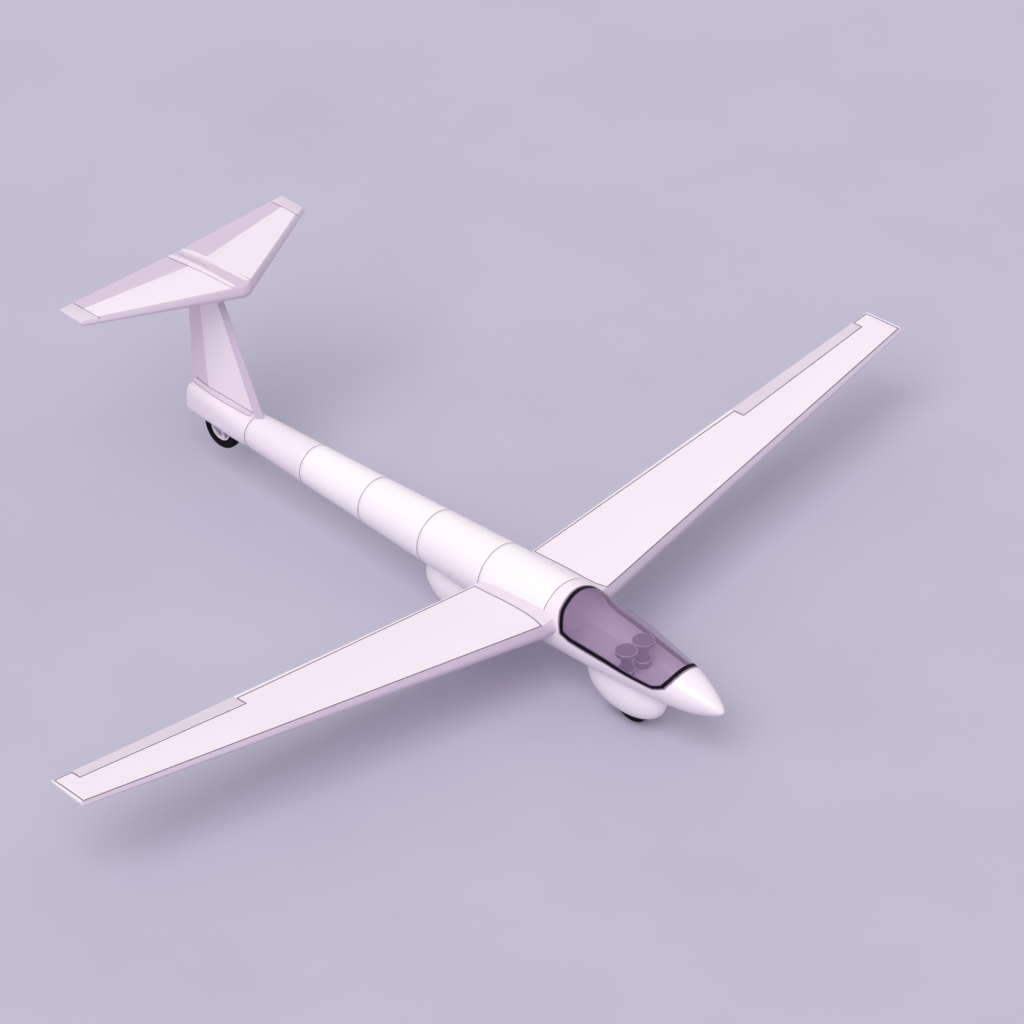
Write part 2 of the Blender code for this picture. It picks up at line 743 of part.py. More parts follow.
def build_tail_bracket(steel, parts, cutters):
    """Two plates under the tail block that hold the ends of the tail axle."""
    block = tail_clearance("bracket_clear", cutters)
    for side, name in ((-1, "starboard"), (1, "port")):
        near = side * WELL_HALF_WIDTH
        far = side * (WELL_HALF_WIDTH + BRACKET_THICKNESS)
        low, high = sorted((near, far))
        plate = box(
            f"tail_bracket_{name}",
            (low, TAIL_WHEEL_Y - BRACKET_HALF_LENGTH, TAIL_WHEEL_Z - 0.030),
            (high, TAIL_WHEEL_Y + BRACKET_HALF_LENGTH, TAIL_WHEEL_Z + 0.150),
            steel,
            parts,
        )
        boolean(plate, block, "DIFFERENCE")


def build_wings(skin, parts, cutters):
    """Wing panels, root fairings and ailerons, port side and its mirror."""
    hull = hull_clearance("hull_side_clear", cutters)
    first = wing_section(WING_JOIN_X)
    fairing_rings = []
    for x, nose_y, lift, thickness in FAIRING_SECTIONS:
        section = Aerofoil(
            nose_y, first.trailing, first.z_front + lift, first.z_back, thickness
        )
        fairing_rings.append(at_x(section.whole(), x))
    fairing_rings.append(at_x(first.whole(), WING_JOIN_X - SEAT_GAP))

    wing_rings = []
    for x in (WING_JOIN_X, 2.0, AILERON_X[0], 5.0, AILERON_X[1], WING_TIP[0]):
        points = wing_section(x).whole()
        ring = at_x(points, x)
        if x == WING_TIP[0]:
            share = (points[:, 0] - WING_TIP[1]) / (WING_TIP[2] - WING_TIP[1])
            ring[:, 0] += WING_TIP_RAKE * (0.5 - share)
        wing_rings.append(ring)

    notch_rings = []
    flap_rings = []
    hinges = []
    for x, inward in zip(AILERON_X, (1, -1)):
        section = wing_section(x)
        y, z = aileron_hinge(x)
        radius = section.half_depth(y) + RUNNING_GAP
        arc = np.linspace(math.radians(90), math.radians(270), 9)
        front = np.column_stack([y + radius * np.cos(arc), z + radius * np.sin(arc)])
        low = [(y + 0.02, z - 0.08), (section.trailing + 0.05, z - 0.08)]
        high = [(section.trailing + 0.05, z + 0.08), (y + 0.02, z + 0.08)]
        notch_rings.append(at_x(np.vstack([front, low, high]), x))
        flap_x = x + inward * CONTROL_END_GAP
        y, z = aileron_hinge(flap_x)
        flap_rings.append(at_x(wing_section(flap_x).flap(y), flap_x))
        hinges.append((flap_x, y, z))

    for side, label in ((1, "port"), (-1, "starboard")):
        mirror = np.array([side, 1.0, 1.0])
        fairing = loft(f"wing_root_{label}", mirrored(fairing_rings, side), skin, parts)
        boolean(fairing, hull, "DIFFERENCE")
        wing = loft(f"wing_{label}", mirrored(wing_rings, side), skin, parts)
        notch = loft(f"aileron_notch_{label}", mirrored(notch_rings, side), None, cutters)
        boolean(wing, as_cutter(notch), "DIFFERENCE")
        for end, outward in zip(hinges, (-1, 1)):
            root = along_line(*hinges, 0, end[0] + outward * PIN_LENGTH)
            tip = along_line(*hinges, 0, end[0] + outward * SEAT_GAP)
            name = f"aileron_pin_{label}_{outward}"
            boolean(wing, pin(name, root * mirror, tip * mirror, 0, cutters), "UNION")
        aileron = loft(f"aileron_{label}", mirrored(flap_rings, side), skin, parts)
        set_origin(aileron, hinges[0] * mirror)


def build_fin_fairing(skin, parts, cutters):
    """Low plinth round the foot of the fin, seated on the boom and the tail block."""
    front, rear = FIN_FAIRING_Y
    arc = np.linspace(0, np.pi, 9)
    rings = []
    for z, spread in ((1.000, 0.030), (FIN_FAIRING_TOP_Z - 0.020, 0.0), (FIN_FAIRING_TOP_Z, -0.018)):
        half = FIN_FAIRING_HALF_WIDTH + spread
        nose = np.column_stack([half * np.cos(arc), front - spread + 0.22 * (1 - np.sin(arc))])
        tail = np.array([(-0.6 * half, rear + 0.5 * spread), (0.6 * half, rear + 0.5 * spread)])
        outline = np.vstack([nose, tail])
        rings.append(np.column_stack([outline, np.full(len(outline), z)]))
    fairing = loft("fin_fairing", rings, skin, parts)
    boolean(fairing, tail_clearance("tail_clear", cutters), "DIFFERENCE")
    boolean(fairing, hull_clearance("boom_clear", cutters), "DIFFERENCE")
    return fairing


def build_fin(fairing, skin, parts, cutters):
    """Fin, and the rudder behind it."""
    fin_rings = []
    rudder_rings = []
    for z in np.linspace(FIN_BASE[0] + SEAT_GAP, FIN_TOP[0] + 0.06, 4):
        leading, hinge, trailing, half = fin_section(z)
        radius = fin_half_width(z, hinge) + RUNNING_GAP
        rear = hinge - 0.40 * radius - 0.004
        nose = leading + 0.14 * (trailing - leading) * (1 - np.cos(np.linspace(0, np.pi / 2, 6)))
        y = np.concatenate([nose, np.linspace(nose[-1], rear, 4)[1:]])
        x = fin_half_width(z, y)
        arc = np.linspace(math.radians(66), math.radians(-66), 7)
        hollow = np.column_stack([radius * np.sin(arc), hinge - radius * np.cos(arc)])
        one_side = np.column_stack([x, y])
        other = np.column_stack([-x, y])[::-1][:-1]
        outline = np.vstack([one_side, hollow, other])
        fin_rings.append(np.column_stack([outline, np.full(len(outline), z)]))
    fin = loft("fin", fin_rings, skin, parts)
    core_rings = []
    for z in (FIN_BASE[0] - 0.010, FIN_TOP[0] - 0.060):
        leading, hinge, trailing, half = fin_section(z)
        rear = hinge - fin_half_width(z, hinge) - RUNNING_GAP - 4 * SURFACE_SKIN
        y = np.linspace(leading + 4 * SURFACE_SKIN, rear, 5)
        x = fin_half_width(z, y) - SURFACE_SKIN
        outline = np.vstack([np.column_stack([x, y]), np.column_stack([-x, y])[::-1]])
        core_rings.append(np.column_stack([outline, np.full(len(outline), z)]))
    boolean(fin, as_cutter(loft("fin_hollow", core_rings, None, cutters)), "DIFFERENCE")

    for z in np.linspace(FIN_FAIRING_TOP_Z + RUNNING_GAP, RUDDER_TOP_Z, 4):
        leading, hinge, trailing, half = fin_section(z)
        radius = fin_half_width(z, hinge)
        arc = np.linspace(math.radians(-90), math.radians(90), 9)
        nose = np.column_stack([radius * np.sin(arc), hinge - radius * np.cos(arc)])
        y = np.linspace(hinge, trailing, 4)[1:]
        x = fin_half_width(z, y)
        one_side = np.column_stack([x, y])
        other = np.column_stack([-x, y])[::-1]
        outline = np.vstack([nose, one_side, other])
        rudder_rings.append(np.column_stack([outline, np.full(len(outline), z)]))
    rudder = loft("rudder", rudder_rings, skin, parts)
    foot = rudder_hinge(FIN_FAIRING_TOP_Z + RUNNING_GAP)
    set_origin(rudder, foot)
    root = rudder_hinge(foot[2] - PIN_LENGTH)
    tip = rudder_hinge(foot[2] - SEAT_GAP)
    boolean(fairing, pin("rudder_foot_pin", root, tip, 2, cutters), "UNION")
    return fin


def build_tailplane(fin, skin, parts, cutters):
    """Centre block over the fin, two tailplane halves, elevators and end caps."""
    edge = CENTRE_HALF_WIDTH - SEAT_GAP
    rings = []
    for x in (-edge, -CENTRE_NOSE_HALF_WIDTH, CENTRE_NOSE_HALF_WIDTH, edge):
        rings.append(at_x(tailplane_section(abs(x))[0].whole(), x))
    centre = loft("tailplane_centre", rings, skin, parts)
    lowered = [ring - np.array([0, 0, SEAT_GAP]) for ring in rings]
    saddle = loft("centre_clear", lowered, None, cutters)
    boolean(fin, as_cutter(saddle), "DIFFERENCE")
    top_pin = pin(
        "rudder_top_pin",
        rudder_hinge(RUDDER_TOP_Z + 2 * PIN_LENGTH),
        rudder_hinge(RUDDER_TOP_Z + SEAT_GAP),
        2,
        cutters,
    )
    boolean(centre, top_pin, "UNION")

    fixed_rings = []
    for x in (CENTRE_HALF_WIDTH, END_CAP_X):
        section, hinge = tailplane_section(x)
        fixed_rings.append(at_x(section.fixed_part(hinge), x))
    core_rings = []
    for x in (CENTRE_HALF_WIDTH - 0.010, END_CAP_X - 0.050):
        section, hinge = tailplane_section(x)
        rear = hinge - section.half_depth(hinge) - RUNNING_GAP - 4 * SURFACE_SKIN
        y = np.linspace(section.leading + 4 * SURFACE_SKIN, rear, 5)
        top = np.column_stack([y, section.upper(y) - SURFACE_SKIN])
        bottom = np.column_stack([y, section.lower(y) + SURFACE_SKIN])[::-1]
        core_rings.append(at_x(np.vstack([top, bottom]), x))
    flap_rings = []
    hinges = []
    for x in (CENTRE_HALF_WIDTH + CONTROL_END_GAP, END_CAP_X - CONTROL_END_GAP):
        section, hinge = tailplane_section(x)
        flap_rings.append(at_x(section.flap(hinge), x))
        hinges.append((x, hinge, section.middle(hinge)))
    cap_rings = []
    for x in (END_CAP_X + SEAT_GAP, TAILPLANE_TIP[0]):
        cap_rings.append(at_x(tailplane_section(x)[0].whole(), x))

    for side, label in ((1, "port"), (-1, "starboard")):
        mirror = np.array([side, 1.0, 1.0])
        half = loft(f"tailplane_{label}", mirrored(fixed_rings, side), skin, parts)
        core = loft(f"tailplane_hollow_{label}", mirrored(core_rings, side), None, cutters)
        boolean(half, as_cutter(core), "DIFFERENCE")
        elevator = loft(f"elevator_{label}", mirrored(flap_rings, side), skin, parts)
        set_origin(elevator, hinges[0] * mirror)
        cap = loft(f"tailplane_cap_{label}", mirrored(cap_rings, side), skin, parts)
        for carrier, end, outward in ((centre, hinges[0], -1), (cap, hinges[1], 1)):
            root_end = along_line(*hinges, 0, end[0] + outward * PIN_LENGTH)
            tip = along_line(*hinges, 0, end[0] + outward * SLANTED_PIN_GAP)
            name = f"elevator_pin_{label}_{outward}"
            boolean(carrier, pin(name, root_end * mirror, tip * mirror, 0, cutters), "UNION")


def build_interior(floor_paint, stool_paint, parts, cutters):
    """Cockpit floor, fitted to the tub's inside, and the two stools on it."""
    ys = stations_between(FLOOR_FRONT_Y, COCKPIT_INNER_REAR_Y - SEAT_GAP)
    inset = TUB_WALL + SEAT_GAP
    floor = body_loft("cockpit_floor", FUSELAGE_STATIONS, ys, floor_paint, parts, inset)
    slab = box(
        "floor_slab",
        (-0.6, FLOOR_FRONT_Y - 0.1, FLOOR_TOP_Z - FLOOR_THICKNESS),
        (0.6, COCKPIT_INNER_REAR_Y + 0.1, FLOOR_TOP_Z),
        None,
        cutters,
    )
    boolean(floor, as_cutter(slab), "INTERSECT")
    for side, label in ((1, "port"), (-1, "starboard")):
        stool = turned(f"stool_{label}", STOOL_PROFILE, False, 20, stool_paint, parts)
        stool.location = (side * STOOL_X, STOOL_Y, FLOOR_TOP_Z + SEAT_GAP)


def main():
    clear_scene()
    parts = new_collection("sailplane_glider")
    cutters = new_collection("cutters")
    skin = new_material("white_gelcoat", (0.86, 0.80, 0.86), 0.25)
    glass = new_material("tinted_acrylic", (0.30, 0.20, 0.33), 0.05)
    frame_paint = new_material("black_frame_paint", (0.004, 0.004, 0.010), 0.35)
    rubber = new_material("tyre_rubber", (0.005, 0.004, 0.012), 0.70)
    rim_paint = new_material("rim_paint", (0.72, 0.64, 0.72), 0.35)
    steel = new_material("axle_steel", (0.45, 0.43, 0.47), 0.35, 1.0)
    floor_paint = new_material("cockpit_lining", (0.33, 0.24, 0.36), 0.55)
    stool_paint = new_material("stool_vinyl", (0.28, 0.20, 0.31), 0.45)

    tub = build_fuselage(skin, parts, cutters)
    build_canopy(tub, glass, frame_paint, parts, cutters)
    build_wheel_pods(skin, parts, cutters)
    build_wheels(rubber, rim_paint, steel, parts)
    build_tail_bracket(steel, parts, cutters)
    build_wings(skin, parts, cutters)
    fairing = build_fin_fairing(skin, parts, cutters)
    fin = build_fin(fairing, skin, parts, cutters)
    build_tailplane(fin, skin, parts, cutters)
    build_interior(floor_paint, stool_paint, parts, cutters)


main()
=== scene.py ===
import math

import bpy
import numpy as np
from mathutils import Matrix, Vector


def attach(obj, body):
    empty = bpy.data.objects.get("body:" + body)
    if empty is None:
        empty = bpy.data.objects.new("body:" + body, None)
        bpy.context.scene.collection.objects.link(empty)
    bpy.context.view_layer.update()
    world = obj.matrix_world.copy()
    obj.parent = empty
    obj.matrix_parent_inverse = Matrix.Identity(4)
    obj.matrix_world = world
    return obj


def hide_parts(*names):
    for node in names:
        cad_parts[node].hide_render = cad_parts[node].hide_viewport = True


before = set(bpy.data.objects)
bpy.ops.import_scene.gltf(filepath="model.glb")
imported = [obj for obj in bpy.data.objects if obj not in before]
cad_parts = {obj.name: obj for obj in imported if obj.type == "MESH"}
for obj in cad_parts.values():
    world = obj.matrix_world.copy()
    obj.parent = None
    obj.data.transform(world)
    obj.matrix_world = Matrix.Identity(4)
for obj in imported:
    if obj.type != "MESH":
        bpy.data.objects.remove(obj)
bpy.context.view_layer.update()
print("stage: frame loaded")


def linear(code):
    # sRGB hex to linear colour: dark tones divided by 12.92, the others raised to the power 2.4
    parts = [int(code[i:i + 2], 16) / 255 for i in (1, 3, 5)]
    curve = [c / 12.92 if c <= 0.04045 else ((c + 0.055) / 1.055) ** 2.4 for c in parts]
    return (*curve, 1.0)


def addNode(tree, kind, links=(), **settings):
    # one node, its named inputs set, and its inputs linked from (socket, input) pairs
    node = tree.nodes.new(kind)
    for key, value in settings.items():
        if key in node.inputs:
            node.inputs[key].default_value = value
        else:
            setattr(node, key, value)
    for source, target in links:
        tree.links.new(source, node.inputs[target])
    return node


def newMaterial(name, **shaderValues):
    # a material with its shader's named inputs set; returns the socket of object coordinates too
    material = bpy.data.materials.new(name)
    material.use_nodes = True
    tree = material.node_tree
    shader = tree.nodes["Principled BSDF"]
    for key, value in shaderValues.items():
        shader.inputs[key].default_value = value
    coords = addNode(tree, "ShaderNodeTexCoord")
    return material, tree, shader, coords.outputs["Object"]


def driftOfTone(tree, shader, place, colours, scale):
    # colour drifts softly between two tones over patches of 1/scale metres; returns the drift
    noise = addNode(tree, "ShaderNodeTexNoise", [(place, "Vector")], Scale=scale, Detail=3.0)
    ramp = addNode(tree, "ShaderNodeValToRGB", [(noise.outputs["Fac"], "Fac")])
    ramp.color_ramp.elements[0].position = 0.20
    ramp.color_ramp.elements[0].color = linear(colours[0])
    ramp.color_ramp.elements[1].position = 0.80
    ramp.color_ramp.elements[1].color = linear(colours[1])
    tree.links.new(ramp.outputs["Color"], shader.inputs["Base Color"])
    return noise.outputs["Fac"]


def finishSurface(tree, shader, drift, rough, grain, strength, distance):
    # roughness follows the drift of tone, and a fine grain raises the surface
    ends = {"To Min": rough[0], "To Max": rough[1]}
    spread = addNode(tree, "ShaderNodeMapRange", [(drift, "Value")], **ends)
    tree.links.new(spread.outputs["Result"], shader.inputs["Roughness"])
    step = addNode(tree, "ShaderNodeBump", [(grain, "Height")], Strength=strength, Distance=distance)
    tree.links.new(step.outputs["Normal"], shader.inputs["Normal"])


def gelcoat(name, tones, rough=(0.25, 0.31)):
    # polished white gelcoat over glass fibre: faint drift of tone over 1.1 m, orange peel at 5 mm
    material, tree, shader, place = newMaterial(name, **{"Coat Weight": 0.18, "Coat Roughness": 0.10})
    drift = driftOfTone(tree, shader, place, tones, 0.9)
    peel = addNode(tree, "ShaderNodeTexNoise", [(place, "Vector")], Scale=200.0, Detail=2.0)
    finishSurface(tree, shader, drift, rough, peel.outputs["Fac"], 0.06, 0.0004)
    return material


def dullSkin(name, tones, scale, rough, grain, strength, distance, shine=0.5):
    # sealant, vinyl, rubber and satin paint: moulded grain of 1/grain metres, little shine
    material, tree, shader, place = newMaterial(name, **{"Specular IOR Level": shine})
    drift = driftOfTone(tree, shader, place, tones, scale)
    fine = addNode(tree, "ShaderNodeTexNoise", [(place, "Vector")], Scale=grain, Detail=3.0)
    finishSurface(tree, shader, drift, rough, fine.outputs["Fac"], strength, distance)
    return material


def turnedSteel(name, tones):
    # turned steel: scratches drawn out along X, 0.4 mm apart, spread the highlight sideways
    material, tree, shader, place = newMaterial(name, Metallic=1.0)
    drift = driftOfTone(tree, shader, place, tones, 30.0)
    stretch = addNode(tree, "ShaderNodeMapping", [(place, "Vector")], Scale=(40.0, 2400.0, 2400.0))
    lines = addNode(tree, "ShaderNodeTexNoise", [(stretch.outputs["Vector"], "Vector")], Scale=1.0)
    finishSurface(tree, shader, drift, (0.28, 0.42), lines.outputs["Fac"], 0.15, 0.0002)
    return material


def acrylic(name, tones, alpha):
    # blown canopy acrylic with a lilac tint: seen through, hard polished skin, faint wipe marks
    material, tree, shader, place = newMaterial(name, Alpha=alpha, IOR=1.49)
    drift = driftOfTone(tree, shader, place, tones, 3.0)
    wipe = addNode(tree, "ShaderNodeTexNoise", [(place, "Vector")], Scale=9.0, Detail=2.0)
    finishSurface(tree, shader, drift, (0.05, 0.12), wipe.outputs["Fac"], 0.02, 0.0004)
    return material


paint = {
    "hull": gelcoat("white_gelcoat", ("#F8F2F7", "#FAF5F9")),
    # the wing's own tone; on the nose and cockpit skin, the last ring and the tail block this darker tone is
    # painted shade against the white hull
    "skin": gelcoat("wing_gelcoat_and_fuselage_painted_shade", ("#F1E6EF", "#F4E9F1")),
    "fin": gelcoat("fin_gelcoat", ("#F8EBF4", "#FAEEF6")),
    # root fairings and fin plinth: a darker lilac that is painted shade of their faces sloping away from the
    # light above
    "fairing": gelcoat("fairing_painted_shade_gelcoat", ("#E4D7E3", "#EADDE8")),
    # leading-edge bands of wings, fairings, fin, plinth and tailplane: partly a darker paint, partly painted
    # shade of bevels turned forward and down
    "edge": gelcoat("leading_edge_gelcoat_and_painted_shade", ("#CCBCD0", "#D0C1D4"), (0.30, 0.37)),
    "control": gelcoat("elevator_gelcoat", ("#D3C3D5", "#D8C9DA"), (0.30, 0.37)),
    "rudder": gelcoat("rudder_gelcoat", ("#E2D1E0", "#E6D6E4"), (0.30, 0.37)),
    "flap": gelcoat("aileron_gelcoat", ("#DED0DE", "#E2D5E1"), (0.28, 0.35)),
    "line": dullSkin("seam_sealant", ("#5F4C6A", "#6A5675"), 20.0, (0.55, 0.70), 900.0, 0.2, 0.0002),
    "softLine": dullSkin("seam_tape", ("#8D7A96", "#9885A0"), 20.0, (0.50, 0.62), 900.0, 0.2, 0.0002),
    "seal": dullSkin("canopy_seal_rubber", ("#8C7795", "#97829F"), 20.0, (0.50, 0.62), 900.0, 0.2, 0.0002),
    "frame": dullSkin(
        "black_frame_paint", ("#010003", "#020106"), 12.0, (0.50, 0.60), 700.0, 0.10, 0.0002, 0.15,
    ),
    "lining": dullSkin(
        "cockpit_lining", ("#CFB9D5", "#D5C0DB"), 5.0, (0.55, 0.68), 420.0, 0.35, 0.0004, 0.3,
    ),
    "floor": dullSkin(
        "cockpit_floor_paint", ("#C6AFCC", "#CBB5D1"), 6.0, (0.50, 0.66), 380.0, 0.35, 0.0004, 0.3,
    ),
    "trim": dullSkin(
        "frame_trim_paint", ("#6A5578", "#725D80"), 12.0, (0.50, 0.62), 600.0, 0.2, 0.0003, 0.3,
    ),
    "stool": dullSkin("stool_vinyl", ("#62476F", "#6A4F78"), 16.0, (0.45, 0.58), 520.0, 0.45, 0.0005, 0.3),
    # light beads on the stools' seat and foot: painted highlight
    "beadHighlight": dullSkin("stool_bead_painted_highlight", ("#D8C4DE", "#E0CEE5"), 20.0, (0.40, 0.50), 700.0, 0.2, 0.0002),
    "rubber": dullSkin("tyre_rubber", ("#020107", "#050409"), 22.0, (0.65, 0.82), 650.0, 0.5, 0.0005, 0.15),
    "rim": dullSkin("cast_wheel_paint", ("#E6DAE6", "#EFE5EE"), 14.0, (0.32, 0.44), 480.0, 0.2, 0.0003),
    # purple-grey of the wheel's recessed disc: painted shade in the recess between the spokes
    "recess": dullSkin(
        "wheel_recess_painted_shade", ("#8F7C98", "#9D8AA5"), 14.0, (0.40, 0.52), 480.0, 0.2, 0.0003,
    ),
    "well": dullSkin("wheel_well_paint", ("#5C4E66", "#685972"), 8.0, (0.60, 0.75), 300.0, 0.4, 0.0005),
    "steel": turnedSteel("turned_steel", ("#A8A2AC", "#BBB5BE")),
    "glass": acrylic("tinted_canopy_acrylic", ("#AD95B8", "#B59EC0"), 0.20),
}


def makePiece(name, shells, body, stands=(), sharp=38.0):
    # shells are (points, faces, material) with points as an array of xyz
    points = np.vstack([shell[0] for shell in shells])
    faces = []
    slots = []
    skins = []
    start = 0
    for cloud, polygons, skin in shells:
        if skin not in skins:
            skins.append(skin)
        faces += [tuple(int(start + i) for i in face) for face in polygons]
        slots += [skins.index(skin)] * len(polygons)
        start += len(cloud)
    mesh = bpy.data.meshes.new(name)
    mesh.from_pydata(points.tolist(), [], faces)
    for skin in skins:
        mesh.materials.append(paint[skin])
    mesh.polygons.foreach_set("material_index", slots)
    mesh.shade_smooth()
    mesh.set_sharp_from_angle(angle=math.radians(sharp))
    mesh.update()
    item = bpy.data.objects.new(name, mesh)
    bpy.context.scene.collection.objects.link(item)
    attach(item, body)
    if stands:
        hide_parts(*stands)
    return item


def quads(rows, columns, wrap=False, flip=False, keep=None):
    # faces of a grid of points stored row by row; wrap joins its last column to its first
    last = columns if wrap else columns - 1
    r, c = np.meshgrid(np.arange(rows - 1), np.arange(last), indexing="ij")
    n = (c + 1) % columns
    faces = np.stack([r * columns + c, r * columns + n, (r + 1) * columns + n, (r + 1) * columns + c], -1)
    if flip:
        faces = faces[..., ::-1]
    if keep is not None:
        return faces[keep(r, c)].tolist()
    return faces.reshape(-1, 4).tolist()


def outwards(points, faces):
    # turn every face round if the shell's signed volume, the sum of its fans' triple products, is
    # negative
    total = 0.0
    for size in sorted({len(face) for face in faces}):
        corners = points[np.array([face for face in faces if len(face) == size])]
        total += np.sum(corners[:, :1] * np.cross(corners[:, 1:-1], corners[:, 2:]))
    return faces if total >= 0 else [tuple(reversed(face)) for face in faces]


def loftShell(rings, skin, caps=True):
    # closed skin through equal rings, with flat ends
    rings = np.array(rings)
    rows, columns = rings.shape[:2]
    points = rings.reshape(-1, 3)
    faces = quads(rows, columns, wrap=True)
    if caps:
        faces.append(list(range(columns))[::-1])
        faces.append(list(range((rows - 1) * columns, rows * columns)))
    return points, outwards(points, faces), skin


def splitShell(shell, columns, picked, skin):
    # gives the chosen columns of a lofted shell a second paint, with a hard edge between
    points, faces, first = shell
    parts = [[], []]
    for face in faces:
        along = sorted({i % columns for i in face})
        column = along[-1] if len(along) == 2 and along[1] - along[0] > 1 else along[0]
        parts[len(face) == 4 and column in picked].append(face)
    out = []
    for group, paintName in zip(parts, (first, skin)):
        used = np.unique(np.concatenate([np.array(face) for face in group]))
        place = {int(old): new for new, old in enumerate(used)}
        out.append((points[used], [[place[int(i)] for i in face] for face in group], paintName))
    return out


def smoothTable(table, y):
    # Hermite curve through the rows of a station table, read at many y at once
    rows = np.array(table)
    stations = rows[:, 0]
    slopes = np.gradient(rows, stations, axis=0)
    y = np.atleast_1d(np.asarray(y, float))
    i = np.clip(np.searchsorted(stations, y) - 1, 0, len(stations) - 2)
    span = stations[i + 1] - stations[i]
    t = ((y - stations[i]) / span)[:, None]
    span = span[:, None]
    out = (
        (1 + 2 * t) * (1 - t) ** 2 * rows[i]
        + t * (1 - t) ** 2 * span * slopes[i]
        + t * t * (3 - 2 * t) * rows[i + 1]
        + t * t * (t - 1) * span * slopes[i + 1]
    )
    out[:, 0] = y
    return out


def sectionPoints(rows, angles, inset=0.0):
    # oval sections: across = sine and up = cosine of the angle, both to the power 2 / squareness,
    # times the half width and height; angle 0 lies at the top and grows to port
    rows = np.asarray(rows)[:, None, :]
    angles = np.asarray(angles)
    if angles.ndim == 1:
        angles = np.broadcast_to(angles, (rows.shape[0], len(angles)))
    power = 2 / np.where(np.cos(angles) > 0, rows[..., 5], rows[..., -1])
    across = np.sign(np.sin(angles)) * np.abs(np.sin(angles)) ** power
    up = np.sign(np.cos(angles)) * np.abs(np.cos(angles)) ** power
    height = np.where(up > 0, rows[..., 3] - rows[..., 2], rows[..., 2] - rows[..., 4]) - inset
    x = (rows[..., 1] - inset) * across
    z = rows[..., 2] + height * up
    y = np.broadcast_to(rows[..., 0], x.shape)
    return np.stack([x, y, z], -1)


def ribbon(line, width, lift, normal, skin="line"):
    # flat strip along a row of points: side = ahead x normal, half the width to either side
    line = np.array(line, float)
    normal = np.asarray(normal, float)
    ahead = np.gradient(line, axis=0)
    side = np.cross(ahead, normal)
    side /= np.linalg.norm(side, axis=1)[:, None]
    lifted = line + lift * normal
    rows = np.stack([lifted - side * width / 2, lifted + side * width / 2], 1)
    return rows.reshape(-1, 3), quads(len(line), 2), skin


def alongPath(corners, spacing=0.05):
    # points along straight stretches between corners, none further apart than the spacing
    corners = np.array(corners, float)
    out = [corners[0]]
    for a, b in zip(corners, corners[1:]):
        steps = max(1, int(math.ceil(np.linalg.norm(b - a) / spacing)))
        out += [a + (b - a) * k / steps for k in range(1, steps + 1)]
    return np.array(out)


def roundedPath(corners, radii, steps=4):
    # open path whose corners are replaced by quadratic curves of the given reach
    corners = np.array(corners, float)
    out = [corners[0]]
    for i in range(1, len(corners) - 1):
        before = corners[i - 1] - corners[i]
        after = corners[i + 1] - corners[i]
        reach = min(radii[i], 0.49 * np.linalg.norm(before), 0.49 * np.linalg.norm(after))
        a = corners[i] + before / np.linalg.norm(before) * reach
        b = corners[i] + after / np.linalg.norm(after) * reach
        for t in np.linspace(0, 1, steps + 1):
            out.append((1 - t) ** 2 * a + 2 * t * (1 - t) * corners[i] + t * t * b)
    out.append(corners[-1])
    return np.array(out)


def mirrorShell(shell, side):
    # the shell itself for side 1, and mirrored through X = 0 for side -1
    points, faces, skin = shell
    if side > 0:
        return shell
    return points * np.array([-1.0, 1.0, 1.0]), [tuple(reversed(face)) for face in faces], skin


def mirroredProfile(side):
    # the profile's first half, then the same points with their place along the axis negated
    return side + [(radius, -along) for radius, along in reversed(side)]


def lathe(profile, axisPoint, axis, skin, steps=64, closed=True):
    # turn (radius, along) pairs about an X, Y or Z axis through a point
    profile = np.array(profile, float)
    angles = np.linspace(0, 2 * np.pi, steps, endpoint=False)
    radius = profile[None, :, 0]
    a = radius * np.cos(angles)[:, None]
    b = radius * np.sin(angles)[:, None]
    along = np.broadcast_to(profile[None, :, 1], a.shape)
    order = {"X": (along, a, b), "Y": (a, along, b), "Z": (a, b, along)}[axis]
    points = np.stack(order, -1) + np.array(axisPoint)
    columns = len(profile)
    around = np.vstack([points.reshape(-1, columns, 3), points[:1]])
    faces = quads(len(around), columns, wrap=closed)
    faces = [[i % (steps * columns) for i in face] for face in faces]
    faces = [[i for k, i in enumerate(face) if i != face[k - 1]] for face in faces]
    points = points.reshape(-1, 3)
    return points, outwards(points, faces), skin


